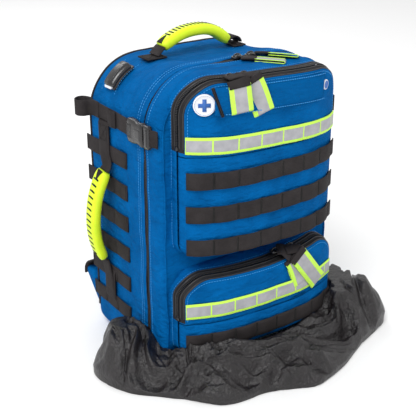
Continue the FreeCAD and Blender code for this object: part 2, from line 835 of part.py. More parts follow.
def make_main_sliders():
    """Two sliders at the top of the main zip. Their pulls lie on the lid, forward and to the
    right: each has a narrow neck at its slider, then a wide tab."""
    top = "dim.pack_top"
    aside, forward = 0.75, 0.66
    for side, start in (
        ("left", ("dim.main_left_slider - 3", "dim.slit_forward + 10.5")),
        ("right", ("dim.main_right_slider + 11", "dim.slit_forward")),
    ):
        make_slider(f"main_slider_{side}", f"dim.main_{side}_slider", "dim.slit_forward", top, None)
        body = new_body(f"main_pull_{side}")

        def at(along, across):
            """A point a distance along the pull from its neck, and aside from its middle."""
            x = f"{start[0]} + ({along}) * {aside} + ({across}) * {forward}"
            return (x, f"-({start[1]} + ({along}) * {forward} - ({across}) * {aside})")

        neck, half, tip = "dim.pull_neck", "dim.main_pull_half_width", "dim.pull_length + 8"
        corners = [
            at("0", f"-{neck}"),
            at("dim.pull_stub", f"-{half}"),
            at(tip, f"-{half}"),
            at(tip, half),
            at("dim.pull_stub", half),
            at("0", neck),
        ]
        sketch = polygon(body, f"MainPull{side}Outline", GROUND, f"{top} + 1", corners)
        pad(body, sketch, "dim.pull_thickness")
        keep(f"main_pull_{side}", body)


# ---------------------------------------------------------------- back and inside


def make_back():
    """Padding, harness and its anchors behind the main compartment."""
    skin = "-(dim.back_depth + 0.1)"
    pads = []
    for side in (-1, 1):
        name = "BackPad" + ("Left" if side < 0 else "Right")
        back = "-(dim.back_depth + dim.back_pad_thickness)"
        pads.append(block(name, both_sides("12", "112", side), (back, skin), ("150", "392"), "6"))
    group("back_pads", pads)
    back = "-(dim.back_depth + dim.lumbar_thickness)"
    keep("lumbar_pad", block("lumbar_pad", ("-95", "95"), (back, skin), ("32", "132"), "8"))
    keep("strap_yoke", block("strap_yoke", ("-112", "112"), ("-136", skin), ("398", "436"), "4"))
    wings = []
    for side in (-1, 1):
        name = "BaseWing" + ("Left" if side < 0 else "Right")
        back = "-(dim.back_depth + dim.wing_depth)"
        wings.append(block(name, both_sides("118", "157.5", side), (back, skin), ("26", "98"), "8"))
    group("strap_base_wings", wings)


def make_shoulder_strap(side):
    """A curved padded strap and the webbing that runs from its foot to the base."""
    end = "left" if side < 0 else "right"
    inner = "45"
    body = new_body(f"shoulder_pad_{end}")
    start = inner if side > 0 else f"-({inner} + dim.strap_pad_width)"
    sketch = arc_band(
        body,
        f"ShoulderPad{end}Arc",
        SIDE,
        start,
        ("dim.strap_pad_back + dim.strap_pad_bulge", "dim.strap_pad_middle"),
        "dim.strap_pad_half_length",
        "dim.strap_pad_bulge",
        "dim.strap_pad_thickness",
        (1, 0),
    )
    pad(body, sketch, "dim.strap_pad_width")
    soften(body, "4")
    keep(f"shoulder_pad_{end}", body)

    webbing = new_body(f"shoulder_webbing_{end}")
    top = "dim.strap_pad_middle - dim.strap_pad_half_length - 2"
    corners = [
        (f"({side}) * 65", top),
        (f"({side}) * 91", top),
        (f"({side}) * 139", "66"),
        (f"({side}) * 113", "66"),
    ]
    name = f"ShoulderWebbing{end}Outline"
    pad(webbing, polygon(webbing, name, FRONT, "-148", corners), "dim.webbing_thickness")
    keep(f"shoulder_webbing_{end}", webbing)


def make_inside():
    """The stiff back sheet, two padded shelves, loops for instruments and the lid's pouch."""
    body = new_body("frame_sheet")
    sides = ("-130", "130", "24", "436")
    inner_back = "-(dim.back_depth - dim.wall)"
    sketch = rounded_rectangle(body, "SheetOutline", FRONT, inner_back, sides, "50", "20")
    pad(body, sketch, "2")
    keep("frame_sheet", body)

    for label, low in (("lower_shelf", "158"), ("upper_shelf", "304")):
        forward = (f"{inner_back} + 4", "38")
        up = (low, f"{low} + dim.shelf_thickness")
        keep(label, block(label, ("-150", "150"), forward, up, "2"))

    forward = (f"{inner_back} + 2", f"{inner_back} + 4")
    loops = block("instrument_loops", ("-112", "112"), forward, ("325", "400"))
    corners = [("-107", "345"), ("-91", "345"), ("-91", "380"), ("-107", "380")]
    first = pad(loops, polygon(loops, "LoopOutline", FRONT, f"{inner_back} + 4", corners), "5")
    pattern = loops.newObject("PartDesign::LinearPattern", "LoopRow")
    pattern.Originals = [first]
    pattern.Direction = (next(f for f in loops.Origin.OriginFeatures if f.Role == "X_Axis"), [""])
    pattern.Length = 198
    pattern.Occurrences = 10
    loops.Tip = pattern
    keep("instrument_loops", loops)

    lid_inside = "dim.lid_forward - dim.wall"
    pouch = block("lid_pouch", ("-120", "120"), (f"{lid_inside} - 4", lid_inside), ("110", "340"))
    keep("lid_pouch", pouch)


def make_rain_cover():
    """The rain cover, pulled out of the base and heaped on the ground round the front."""
    body = new_body("rain_cover")
    left, right, front = "dim.cover_left", "dim.cover_right", "dim.cover_front"
    near = "(dim.half_width + 3)"
    outside = [
        (f"-{near}", "-14"),
        (f"-0.96 * {left}", "-18"),
        (f"-{left}", "-48"),
        (f"-0.90 * {left}", "-0.46 * dim.cover_front"),
        (f"-0.70 * {left}", "-0.65 * dim.cover_front"),
        (f"-0.50 * {left}", "-0.86 * dim.cover_front"),
        (f"-0.26 * {left}", "-0.87 * dim.cover_front"),
        ("14", f"-{front}"),
        (f"0.40 * {right}", "-0.90 * dim.cover_front"),
        (right, "-0.66 * dim.cover_front"),
        (f"0.98 * {right}", "-0.34 * dim.cover_front"),
        (near, "-40"),
    ]
    under = [(near, "-(dim.lid_forward + 4)"), (f"-{near}", "-(dim.lid_forward + 4)")]
    sketch = polygon(body, "CoverLow", GROUND, "0.5", outside + under)
    pad(body, sketch, "dim.cover_low_height")
    beyond = [
        (f"{near} + 14", "-(dim.upper_forward + 10)"),
        (f"-({near} - 10)", "-(dim.upper_forward + 10)"),
        (f"-({near} + 10)", "-(dim.lid_forward + 22)"),
        (f"-({near} + 24)", "-(dim.lid_forward - 28)"),
    ]
    inset = [(f"0.95 * ({x})", f"0.97 * ({y})") for x, y in outside[2:10]]
    ridge = polygon(body, "CoverRidge", GROUND, "dim.cover_low_height", inset + beyond)
    pad(body, ridge, "dim.cover_high_height - dim.cover_low_height")
    keep("rain_cover", body)


make_rear_shell()
make_base_panel()
make_main_zip()
make_lid_shell()
make_pocket("upper")
make_pocket("lower")
make_face_trim()
make_side_webbing()
make_compression_straps()
make_side_anchors()
make_top_handle()
make_cable_port()
make_pocket_sliders("upper", (("left", "-70", 4, 45), ("right", "-45", 28, 59)))
make_pocket_sliders("lower", (("left", "22", 26, 57), ("right", "50", 37, 70)))
make_main_sliders()
make_back()
for strap_side in (-1, 1):
    make_side_handle(strap_side)
    make_shoulder_strap(strap_side)
make_inside()
make_rain_cover()

doc.recompute()
for thing in doc.Objects:
    if "Invalid" in thing.State or "Error" in thing.State:
        raise ValueError(f"{thing.Name} is {thing.State}")
for label, thing in nodes.items():
    shape = thing.Shape
    if shape.isNull() or not shape.isValid() or shape.Volume <= 0:
        raise ValueError(f"{label} has no valid solid")

os.makedirs("parts", exist_ok=True)
for label, thing in nodes.items():
    thing.Shape.exportStep(f"parts/{label}.step")
print(len(nodes), "nodes written")
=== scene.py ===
import math

import bmesh
import bpy
import numpy as np
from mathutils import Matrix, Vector, noise


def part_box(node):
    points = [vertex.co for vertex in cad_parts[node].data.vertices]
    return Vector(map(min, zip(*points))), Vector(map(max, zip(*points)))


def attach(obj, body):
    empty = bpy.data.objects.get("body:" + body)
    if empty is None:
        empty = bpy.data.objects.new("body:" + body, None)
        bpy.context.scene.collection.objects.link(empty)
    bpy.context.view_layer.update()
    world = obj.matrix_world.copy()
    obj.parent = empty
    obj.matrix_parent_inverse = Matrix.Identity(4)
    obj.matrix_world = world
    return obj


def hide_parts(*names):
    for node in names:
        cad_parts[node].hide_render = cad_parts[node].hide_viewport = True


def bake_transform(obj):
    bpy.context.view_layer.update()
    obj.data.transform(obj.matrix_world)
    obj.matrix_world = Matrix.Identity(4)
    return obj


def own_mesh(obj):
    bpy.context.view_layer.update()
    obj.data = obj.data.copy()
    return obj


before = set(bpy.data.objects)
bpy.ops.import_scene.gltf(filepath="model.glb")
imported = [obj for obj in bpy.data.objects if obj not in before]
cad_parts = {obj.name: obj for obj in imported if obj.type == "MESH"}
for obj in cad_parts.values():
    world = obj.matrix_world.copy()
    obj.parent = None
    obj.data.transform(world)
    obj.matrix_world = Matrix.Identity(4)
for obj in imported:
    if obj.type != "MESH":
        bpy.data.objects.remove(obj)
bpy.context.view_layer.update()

# Lengths in this script are millimetres in the row frame, and become metres in put_mesh().
# "Forward" is the distance in front of the origin, so forward = -y.
MM = 0.001
WEBBING = 25.4  # width of a row of webbing
ROW_PITCH = 50.8  # distance between the rows of the webbing grid
COLUMN = 38.1  # distance between its stitched columns


# ---------------------------------------------------------------- camera, light, floor


def make_camera():
    """The camera stands left of the front and looks down at the pack."""
    data = bpy.data.cameras.new("Camera")
    camera = bpy.data.objects.new("Camera", data)
    bpy.context.scene.collection.objects.link(camera)
    turn, drop = math.radians(34.71), math.radians(22.97)
    camera.location = (-0.7947, -1.1259, 0.7914)
    camera.rotation_euler = (math.pi / 2 - drop, 0, -turn)
    data.sensor_width = 36
    data.lens = 80.8
    data.clip_end = 50
    bpy.context.scene.camera = camera


def make_area_light(name, place, target, size, power):
    """A round lamp aimed at a target. Lengths are in metres and power in watts."""
    data = bpy.data.lights.new(name, "AREA")
    data.shape = "DISK"
    data.size = size
    data.energy = power
    light = bpy.data.objects.new(name, data)
    bpy.context.scene.collection.objects.link(light)
    light.location = place
    aim = Vector(target) - Vector(place)
    light.rotation_euler = aim.to_track_quat("-Z", "Y").to_euler()


def make_studio():
    """A pale floor under a white sky, with a soft key from the left and a weaker fill."""
    scene = bpy.context.scene
    scene.view_settings.view_transform = "Standard"
    world = bpy.data.worlds.new("Studio")
    scene.world = world
    world.use_nodes = True
    sky = world.node_tree.nodes["Background"]
    sky.inputs["Color"].default_value = (1, 1, 1, 1)
    sky.inputs["Strength"].default_value = 0.76
    make_area_light("Key", (-1.7, -1.2, 2.6), (0, 0, 0.2), 1.5, 60)
    make_area_light("Fill", (2.2, -1.6, 1.6), (0, 0, 0.25), 2.0, 10)
    make_area_light("Back", (0.4, 2.4, 2.2), (0, 0, 0.3), 1.8, 22)
    bpy.ops.mesh.primitive_plane_add(size=24, location=(0, 0, 0))
    floor = bpy.context.object
    floor.name = "floor"
    material = bpy.data.materials.new("floor")
    material.use_nodes = True
    shader = material.node_tree.nodes["Principled BSDF"]
    shader.inputs["Base Color"].default_value = (0.93, 0.93, 0.93, 1)
    shader.inputs["Roughness"].default_value = 0.9
    floor.data.materials.append(material)


# ---------------------------------------------------------------- materials


def new_material(name, colour, roughness, **sockets):
    """A plain material. Further sockets are named with underscores for spaces."""
    material = bpy.data.materials.new(name)
    material.use_nodes = True
    shader = material.node_tree.nodes["Principled BSDF"]
    shader.inputs["Base Color"].default_value = (*colour, 1)
    shader.inputs["Roughness"].default_value = roughness
    shader.inputs["Specular IOR Level"].default_value = 0.22
    for socket, value in sockets.items():
        shader.inputs[socket.replace("_", " ")].default_value = value
    return material


class Nodes:
    """Short ways to add nodes to a material."""

    def __init__(self, material):
        self.tree = material.node_tree
        self.shader = self.tree.nodes["Principled BSDF"]

    def add(self, kind, inputs=None, **settings):
        node = self.tree.nodes.new(kind)
        for key, value in settings.items():
            setattr(node, key, value)
        for key, value in (inputs or {}).items():
            self.plug(value, node.inputs[key])
        return node

    def plug(self, value, socket):
        if isinstance(value, bpy.types.NodeSocket):
            self.tree.links.new(value, socket)
        else:
            socket.default_value = value

    def math(self, operation, a, b=0.0, c=0.0):
        return self.add("ShaderNodeMath", {0: a, 1: b, 2: c}, operation=operation).outputs[0]

    def place(self):
        """The point on the piece, in millimetres."""
        coordinates = self.add("ShaderNodeTexCoord").outputs["Object"]
        return self.add("ShaderNodeVectorMath", {0: coordinates, 3: 1000.0}, operation="SCALE").outputs[0]

    def strip(self):
        """Distance along a strip and across it, in millimetres, from its UV map."""
        uv = self.add("ShaderNodeUVMap", uv_map="strip").outputs[0]
        split = self.add("ShaderNodeSeparateXYZ", {0: uv})
        return split.outputs[0], split.outputs[1]

    def noise(self, vector, size, detail=3.0, roughness=0.5):
        """Noise from 0 to 1 whose features are about size millimetres wide."""
        inputs = {"Vector": vector, "Scale": 1.0 / size, "Detail": detail, "Roughness": roughness}
        return self.add("ShaderNodeTexNoise", inputs).outputs[0]

    def ramp(self, value, low, high):
        """Maps value from low..high to 0..1, clamped."""
        inputs = {0: value, 1: low, 2: high, 3: 0.0, 4: 1.0}
        return self.add("ShaderNodeMapRange", inputs, clamp=True).outputs[0]

    def mix(self, factor, a, b):
        node = self.add("ShaderNodeMix", data_type="RGBA")
        self.plug(factor, node.inputs["Factor"])
        for value, socket in ((a, node.inputs[6]), (b, node.inputs[7])):
            self.plug((*value, 1) if isinstance(value, tuple) else value, socket)
        return node.outputs[2]

    def colour(self, value):
        self.plug(value, self.shader.inputs["Base Color"])

    def roughness(self, value):
        self.plug(value, self.shader.inputs["Roughness"])

    def bump(self, height, distance, strength=1.0):
        """Height from 0 to 1 raises the surface by distance, in millimetres."""
        inputs = {"Height": height, "Distance": distance * MM, "Strength": strength}
        node = self.add("ShaderNodeBump", inputs)
        self.plug(node.outputs[0], self.shader.inputs["Normal"])

    def wave(self, value, period):
        """A sine from 0 to 1 with that period."""
        turned = self.math("MULTIPLY", value, 2 * math.pi / period)
        return self.math("MULTIPLY_ADD", self.math("SINE", turned), 0.5, 0.5)


def woven_material(name, colour, light, yarn=1.1, roughness=0.82, mottle=0.5, depth=0.25, wrinkle=9.0):
    """Canvas: a square weave with cloudy changes of tone."""
    material = new_material(name, colour, roughness, Specular_IOR_Level=0.03)
    nodes = Nodes(material)
    place = nodes.place()
    split = nodes.add("ShaderNodeSeparateXYZ", {0: place})
    waves = [nodes.wave(split.outputs[i], yarn) for i in range(3)]
    weave = nodes.math("MULTIPLY", nodes.math("ADD", nodes.math("ADD", waves[0], waves[1]), waves[2]), 0.333)
    cloud = nodes.noise(place, 34.0, 4.0, 0.6)
    fibre = nodes.noise(place, 1.6, 2.0, 0.7)
    tone = nodes.math("MULTIPLY_ADD", nodes.ramp(cloud, 0.3, 0.75), mottle, 0.0)
    tone = nodes.math("ADD", tone, nodes.math("MULTIPLY", nodes.ramp(fibre, 0.35, 0.75), 0.22))
    nodes.colour(nodes.mix(tone, colour, light))
    height = nodes.math("ADD", weave, nodes.math("MULTIPLY", fibre, 0.8))
    slant = nodes.add("ShaderNodeMapping", {0: place, 2: (0.5, 0.3, 0.7), 3: (0.35, 0.6, 1.0)}).outputs[0]
    pulled = nodes.noise(slant, 17.0, 3.0, 0.55)
    creases = nodes.math("ABSOLUTE", nodes.math("SUBTRACT", pulled, 0.5))
    nodes.bump(nodes.math("MULTIPLY_ADD", creases, wrinkle / depth, height), depth)
    return material


def webbing_material(name, colour, light):
    """Ribbed strap: fine ribs across it, cords along it, and cloudy dust."""
    material = new_material(name, colour, 0.72, Specular_IOR_Level=0.12)
    nodes = Nodes(material)
    along, across = nodes.strip()
    ribs = nodes.wave(along, 1.7)
    cords = nodes.wave(across, 3.2)
    place = nodes.place()
    fuzz = nodes.noise(place, 2.0, 2.0, 0.7)
    cloud = nodes.noise(place, 22.0)
    dust = nodes.math("MULTIPLY", nodes.ramp(cloud, 0.35, 0.75), 0.35)
    tone = nodes.math("ADD", dust, nodes.math("MULTIPLY", fuzz, 0.4))
    nodes.colour(nodes.mix(tone, colour, light))
    height = nodes.math("ADD", nodes.math("MULTIPLY", cords, 0.4), fuzz)
    height = nodes.math("ADD", nodes.math("MULTIPLY", ribs, 0.7), height)
    nodes.bump(height, 0.22)
    return material


def reflective_material(name, width, bars, border):
    """A silver stripe between lime edges. Where bars is true, lime stitching crosses it at
    every column of the webbing grid."""
    lime, silver, pale = (0.62, 0.97, 0.12), (0.33, 0.33, 0.35), (0.42, 0.42, 0.44)
    material = new_material(name, silver, 0.45)
    nodes = Nodes(material)
    along, across = nodes.strip()
    from_middle = nodes.math("ABSOLUTE", nodes.math("SUBTRACT", across, width / 2))
    from_edge = nodes.math("SUBTRACT", width / 2, from_middle)
    edge = nodes.math("LESS_THAN", from_edge, border)
    if bars:
        phase = nodes.math("PINGPONG", along, COLUMN / 2)
        edge = nodes.math("MAXIMUM", edge, nodes.math("LESS_THAN", phase, 1.1))
    place = nodes.place()
    grain = nodes.noise(place, 1.0, 2.0)
    cloud = nodes.noise(place, 14.0)
    grey = nodes.mix(nodes.ramp(cloud, 0.35, 0.7), silver, pale)
    weave = nodes.mix(nodes.math("MULTIPLY", grain, 0.5), lime, (0.42, 0.8, 0.04))
    nodes.colour(nodes.mix(edge, grey, weave))
    ribs = nodes.wave(along, 1.2)
    raised = nodes.math("MULTIPLY", edge, nodes.math("MULTIPLY_ADD", ribs, 0.5, 1.0))
    nodes.bump(nodes.math("ADD", raised, nodes.math("MULTIPLY", grain, 0.3)), 0.3)
    return material


def rubber_material(name, colour, dark, roughness=0.42):
    """Moulded rubber: a fine pebble grain and slight dulling."""
    material = new_material(name, colour, roughness, Coat_Weight=0.08)
    nodes = Nodes(material)
    place = nodes.place()
    pebble = nodes.noise(place, 0.9, 2.0)
    cloud = nodes.noise(place, 18.0)
    nodes.colour(nodes.mix(nodes.math("MULTIPLY", nodes.ramp(cloud, 0.4, 0.8), 0.35), colour, dark))
    nodes.roughness(nodes.math("MULTIPLY_ADD", cloud, 0.2, roughness - 0.1))
    nodes.bump(pebble, 0.12)
    return material


def plastic_material(name, colour, roughness=0.28):
    """Moulded plastic with a faint orange peel and fine scuffs."""
    material = new_material(name, colour, roughness, Specular_IOR_Level=0.6)
    nodes = Nodes(material)
    place = nodes.place()
    peel = nodes.noise(place, 2.5, 1.0)
    scuff = nodes.noise(place, 7.0, 5.0, 0.7)
    nodes.roughness(nodes.math("MULTIPLY_ADD", nodes.ramp(scuff, 0.45, 0.8), 0.25, roughness))
    nodes.bump(peel, 0.05)
    return material


def nylon_material(name):
    """Thin coated nylon: a ripstop grid, crush marks painted lighter on their raised parts as painted
    highlight and darker in their hollows as painted shade, and a broken sheen.
    """
    # colour is the painted shade of the crush hollows, and light is the painted highlight of its crests.
    colour, light = (0.0035, 0.0025, 0.003), (0.013, 0.0095, 0.0112)
    material = new_material(name, colour, 0.42, Specular_IOR_Level=0.6)
    nodes = Nodes(material)
    place = nodes.place()
    crush_and_painted_light = nodes.noise(place, 16.0, 6.0, 0.62)
    fine = nodes.noise(place, 3.5, 3.0, 0.6)
    split = nodes.add("ShaderNodeSeparateXYZ", {0: place})
    lines = [nodes.math("LESS_THAN", nodes.math("PINGPONG", split.outputs[i], 3.0), 0.25) for i in (0, 1)]
    grid = nodes.math("MAXIMUM", *lines)
    # Painted light: the noise that raises the crush also lightens its crests and darkens its hollows.
    nodes.colour(nodes.mix(nodes.ramp(crush_and_painted_light, 0.3, 0.75), colour, light))
    nodes.roughness(nodes.math("MULTIPLY_ADD", fine, 0.16, 0.24))
    height = nodes.math("ADD", fine, nodes.math("MULTIPLY", grid, 0.12))
    height = nodes.math("ADD", nodes.math("MULTIPLY", crush_and_painted_light, 2.4), height)
    nodes.bump(height, 1.6)
    return material


def mesh_pad_material(name):
    """Spacer mesh: rows of small open cells."""
    colour, light = (0.018, 0.018, 0.02), (0.07, 0.07, 0.075)
    material = new_material(name, colour, 0.8)
    nodes = Nodes(material)
    place = nodes.place()
    cells = nodes.add("ShaderNodeTexVoronoi", {"Vector": place, "Scale": 0.42}).outputs["Distance"]
    nodes.colour(nodes.mix(nodes.ramp(cells, 0.15, 0.6), colour, light))
    nodes.bump(cells, 0.7)
    return material


BLUE, BLUE_LIGHT = (0.0003, 0.072, 0.238), (0.001, 0.155, 0.48)


def make_materials():
    """Every material by the short name that put_mesh() takes."""
    return {
        "blue": woven_material("blue_canvas", BLUE, BLUE_LIGHT),
        "loop": woven_material("loop_pile", (0.001, 0.09, 0.29), (0.002, 0.14, 0.42), 0.8, 0.95, 0.4, 0.5),
        "black": woven_material("black_canvas", (0.012, 0.012, 0.013), (0.045, 0.043, 0.046), 1.0),
        "lining": woven_material(
            "grey_lining", (0.05, 0.055, 0.065), (0.11, 0.115, 0.13), 0.7, 0.75, 0.3, 0.12
        ),
        "webbing": webbing_material("black_webbing", (0.017, 0.0145, 0.015), (0.048, 0.042, 0.043)),
        "tape": webbing_material("zip_tape", (0.012, 0.012, 0.013), (0.04, 0.038, 0.041)),
        "band": reflective_material("reflective_band", 25, True, 4.2),
        "tab": reflective_material("reflective_tab", 32, False, 7.0),
        "lime": rubber_material("lime_rubber", (0.732, 0.93, 0.025), (0.45, 0.80, 0.02)),
        "rubber": rubber_material("black_rubber", (0.022, 0.02, 0.022), (0.05, 0.046, 0.048)),
        "notch": rubber_material("notch_rubber", (0.008, 0.008, 0.007), (0.02, 0.02, 0.018)),
        "plastic": plastic_material("buckle_plastic", (0.014, 0.0135, 0.015), 0.24),
        "sheet": plastic_material("frame_plastic", (0.09, 0.09, 0.1), 0.5),
        "metal": plastic_material("slider_lacquer", (0.012, 0.012, 0.013), 0.22),
        "teeth": plastic_material("zip_teeth", (0.016, 0.016, 0.018), 0.35),
        "thread": rubber_material("light_thread", (0.03, 0.26, 0.62), (0.06, 0.36, 0.75), 0.6),
        "dark_thread": rubber_material("black_thread", (0.012, 0.012, 0.012), (0.03, 0.03, 0.03), 0.7),
        "white": rubber_material("badge_white", (0.78, 0.80, 0.83), (0.66, 0.69, 0.74), 0.4),
        "badge_blue": rubber_material("badge_blue", (0.04, 0.13, 0.42), (0.07, 0.18, 0.5), 0.45),
        "nylon": nylon_material("cover_nylon"),
        "mesh": mesh_pad_material("spacer_mesh"),
    }


# ---------------------------------------------------------------- mesh building


def span(node):
    """A CAD node's lowest and highest corner, in millimetres."""
    low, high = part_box(node)
    return np.array(low) / MM, np.array(high) / MM


def put_mesh(name, points, faces, materials, indices=None, strip=None):
    """Makes an object from points in millimetres. strip gives each point's place along and
    across a strip."""
    mesh = bpy.data.meshes.new(name)
    mesh.from_pydata((np.asarray(points, float) * MM).tolist(), [], [list(map(int, f)) for f in faces])
    if not isinstance(materials, (list, tuple)):
        materials = [materials]
    for key in materials:
        mesh.materials.append(MATERIALS[key])
    mesh.polygons.foreach_set("use_smooth", [True] * len(mesh.polygons))
    if indices is not None:
        mesh.polygons.foreach_set("material_index", [int(i) for i in indices])
    if strip is not None:
        layer = mesh.uv_layers.new(name="strip")
        loops = np.zeros(len(mesh.loops), np.int32)
        mesh.loops.foreach_get("vertex_index", loops)
        layer.data.foreach_set("uv", np.asarray(strip, float)[loops].ravel())
    mesh.validate()
    piece = bpy.data.objects.new(name, mesh)
    bpy.context.scene.collection.objects.link(piece)
    return piece


def grid_faces(rows, columns, wrap, first=0):
    """Quads of a grid of points, with the last column joined to the first where wrap is true."""
    faces = []
    last = columns if wrap else columns - 1
    for i in range(rows - 1):
        for j in range(last):
            k = (j + 1) % columns
            faces.append((
                first + i * columns + j,
                first + i * columns + k,
                first + (i + 1) * columns + k,
                first + (i + 1) * columns + j,
            ))
    return faces


def sleeve_faces(rows, columns):
    """Quads of a closed strip of points, and a face over each of its ends."""
    end = (rows - 1) * columns
    ends = [tuple(range(columns))[::-1], tuple(end + j for j in range(columns))]
    return grid_faces(rows, columns, True) + ends


def join(name, pieces):
    """Joins pieces into one object."""
    bpy.ops.object.select_all(action="DESELECT")
    for piece in pieces:
        piece.select_set(True)
    bpy.context.view_layer.objects.active = pieces[0]
    bpy.ops.object.join()
    joined = bpy.context.view_layer.objects.active
    joined.name = name
    return joined


def apply_modifiers(piece):
    """Applies all of a piece's modifiers in order."""
    bpy.ops.object.select_all(action="DESELECT")
    bpy.context.view_layer.objects.active = piece
    piece.select_set(True)
    for modifier in list(piece.modifiers):
        bpy.ops.object.modifier_apply(modifier=modifier.name)
    return piece


def thicken(piece, thickness, inner_material=0):
    """Gives a surface thickness on its inner side."""
    modifier = piece.modifiers.new("thickness", "SOLIDIFY")
    modifier.thickness = thickness * MM
    modifier.offset = -1
    modifier.use_even_offset = False
    modifier.material_offset = inner_material
    modifier.material_offset_rim = 0
    return apply_modifiers(piece)


def face_outward(piece, inside=None):
    """Turns faces to point away from a point inside the piece, or makes them consistent."""
    mesh = bmesh.new()
    mesh.from_mesh(piece.data)
    bmesh.ops.recalc_face_normals(mesh, faces=mesh.faces)
    if inside is not None:
        centre = Vector(inside) * MM
        votes = sum(f.calc_area() * f.normal.dot(f.calc_center_median() - centre) for f in mesh.faces)
        if votes < 0:
            bmesh.ops.reverse_faces(mesh, faces=mesh.faces)
    mesh.to_mesh(piece.data)
    mesh.free()
    return piece


def cut_at(piece, height, keep_above):
    """Keeps the part of a piece above or below a level."""
    mesh = bmesh.new()
    mesh.from_mesh(piece.data)
    geometry = mesh.verts[:] + mesh.edges[:] + mesh.faces[:]
    bmesh.ops.bisect_plane(
        mesh,
        geom=geometry,
        plane_co=(0, 0, height * MM),
        plane_no=(0, 0, 1),
        clear_inner=keep_above,
        clear_outer=not keep_above,
    )
    mesh.to_mesh(piece.data)
    mesh.free()
    return piece


def unit(vectors):
    """Vectors scaled to length 1."""
    vectors = np.asarray(vectors, float)
    length = np.linalg.norm(vectors, axis=-1, keepdims=True)
    return vectors / np.maximum(length, 1e-9)


def lengths(path):
    """Distance along a path at each of its points."""
    steps = np.linalg.norm(np.diff(path, axis=0), axis=1)
    return np.concatenate([[0], np.cumsum(steps)])


def resample(path, step, *others):
    """Points every step along a path, and the same for arrays that go with it."""
    path = np.asarray(path, float)
    s = lengths(path)
    count = max(int(round(s[-1] / step)), 2)
    t = np.linspace(0, s[-1], count + 1)
    made = []
    for values in (path, *others):
        values = np.broadcast_to(np.asarray(values, float), path.shape)
        made.append(np.stack([np.interp(t, s, values[:, i]) for i in range(3)], 1))
    return made if others else made[0]


def smooth_path(points, step=2.0, rounds=3):
    """A rounded path through given points: corners are cut and the result is resampled."""
    path = np.asarray(points, float)
    for _ in range(rounds):
        cut = [path[0]]
        for a, b in zip(path[:-1], path[1:]):
            cut += [0.75 * a + 0.25 * b, 0.25 * a + 0.75 * b]
        path = np.array([*cut, path[-1]])
    return resample(path, step)


def axes_along(path, out):
    """Directions at each point of a path: along it, out and square to it, and across both."""
    along = unit(np.gradient(path, axis=0))
    out = unit(np.broadcast_to(np.asarray(out, float), path.shape))
    out = unit(out - along * np.sum(out * along, 1, keepdims=True))
    return along, out, np.cross(along, out)


def ribbon(name, path, out, width, thickness, material, lift=None):
    """A strap along a path. out points away from what it lies on, and lift raises it there."""
    path = np.asarray(path, float)
    _, out, across = axes_along(path, out)
    if lift is not None:
        path = path + out * np.asarray(lift)[:, None]
    width = np.broadcast_to(np.asarray(width, float), (len(path),))
    half = thickness / 2
    section = [(-1, 0, 0.5), (-1, half, 1), (-0.5, 0, 1), (0, 0, 1), (0.5, 0, 1), (1, -half, 1)]
    section += [(1, 0, 0.5), (1, -half, 0), (0, 0, 0), (-1, half, 0)]
    points = []
    strip = []
    s = lengths(path)
    for i, centre in enumerate(path):
        for share, inset, up in section:
            offset = share * width[i] / 2 + inset
            points.append(centre + across[i] * offset + out[i] * up * thickness)
            strip.append((s[i], offset + width[i] / 2))
    faces = sleeve_faces(len(path), len(section))
    return face_outward(put_mesh(name, points, faces, material, strip=strip))


def tube(name, path, radius, material, sides=8):
    """A round tube along a path. radius is one number or one for each point."""
    path = np.asarray(path, float)
    radius = np.broadcast_to(np.asarray(radius, float), (len(path),))
    along = unit(np.gradient(path, axis=0))
    side = unit(np.cross(along, (0.31, 0.17, 0.93)))
    other = np.cross(along, side)
    points, strip = [], []
    s = lengths(path)
    for i, centre in enumerate(path):
        for k in range(sides):
            angle = 2 * math.pi * k / sides
            points.append(centre + radius[i] * (math.cos(angle) * side[i] + math.sin(angle) * other[i]))
            strip.append((s[i], k * radius[i]))
    faces = sleeve_faces(len(path), sides)
    return face_outward(put_mesh(name, points, faces, material, strip=strip))


def rows_of_bars(name, path, out, pitch, size, material, sink=0.0):
    """Small bars along a path, such as stitches or zip teeth. size is (along, across, high)."""
    path, out = resample(path, pitch, out)
    along, out, across = axes_along(path, out)
    shape = [
        (-0.5, -0.2, 0), (-0.5, 0.2, 0), (-0.35, -0.5, 0.7), (-0.35, 0.5, 0.7),
        (0.35, -0.5, 0.7), (0.35, 0.5, 0.7), (0.5, -0.2, 0), (0.5, 0.2, 0),
        (-0.25, 0, 1), (0.25, 0, 1),
    ]
    links = [
        (0, 2, 3, 1), (2, 4, 9, 8), (3, 8, 9, 5), (2, 8, 3), (4, 5, 9),
        (4, 6, 7, 5), (0, 1, 7, 6), (0, 6, 4, 2), (1, 3, 5, 7),
    ]
    points, faces = [], []
    for i in range(len(path)):
        first = len(points)
        for a, c, h in shape:
            offset = along[i] * a * size[0] + across[i] * c * size[1] + out[i] * (h * size[2] - sink)
            points.append(path[i] + offset)
        faces += [tuple(first + k for k in link) for link in links]
    return put_mesh(name, points, faces, material)


def rounded_box(name, low, high, radius, material, cells=6, shape=None):
    """A box with rounded edges and a grid fine enough to bend. shape() may move its points."""
    low, high = np.asarray(low, float), np.asarray(high, float)
    counts = [max(2, int(cells * (high - low)[i] / max(high - low)) + 2) for i in range(3)]
    mesh = bmesh.new()
    bmesh.ops.create_cube(mesh, size=2.0)
    bmesh.ops.subdivide_edges(mesh, edges=mesh.edges[:], cuts=max(counts), use_grid_fill=True)
    points = np.array([v.co for v in mesh.verts])
    half = (high - low) / 2
    centre = (high + low) / 2
    radius = min(radius, *(half * 0.98))
    scaled = points * half
    core = np.clip(scaled, -(half - radius), half - radius)
    arm = scaled - core
    reach = np.linalg.norm(arm, axis=1, keepdims=True)
    rounded = core + np.where(reach > 1e-9, arm / np.maximum(reach, 1e-9) * radius, 0)
    points = rounded + centre
    if shape is not None:
        points = shape(points)
    faces = [[v.index for v in f.verts] for f in mesh.faces]
    mesh.free()
    return put_mesh(name, points, faces, material)


def waver(point, size, amount, seed=0.0):
    """Smooth noise about zero at a point."""
    return amount * noise.noise(Vector(point) / size + Vector((seed, seed * 1.7, seed * 0.6)))


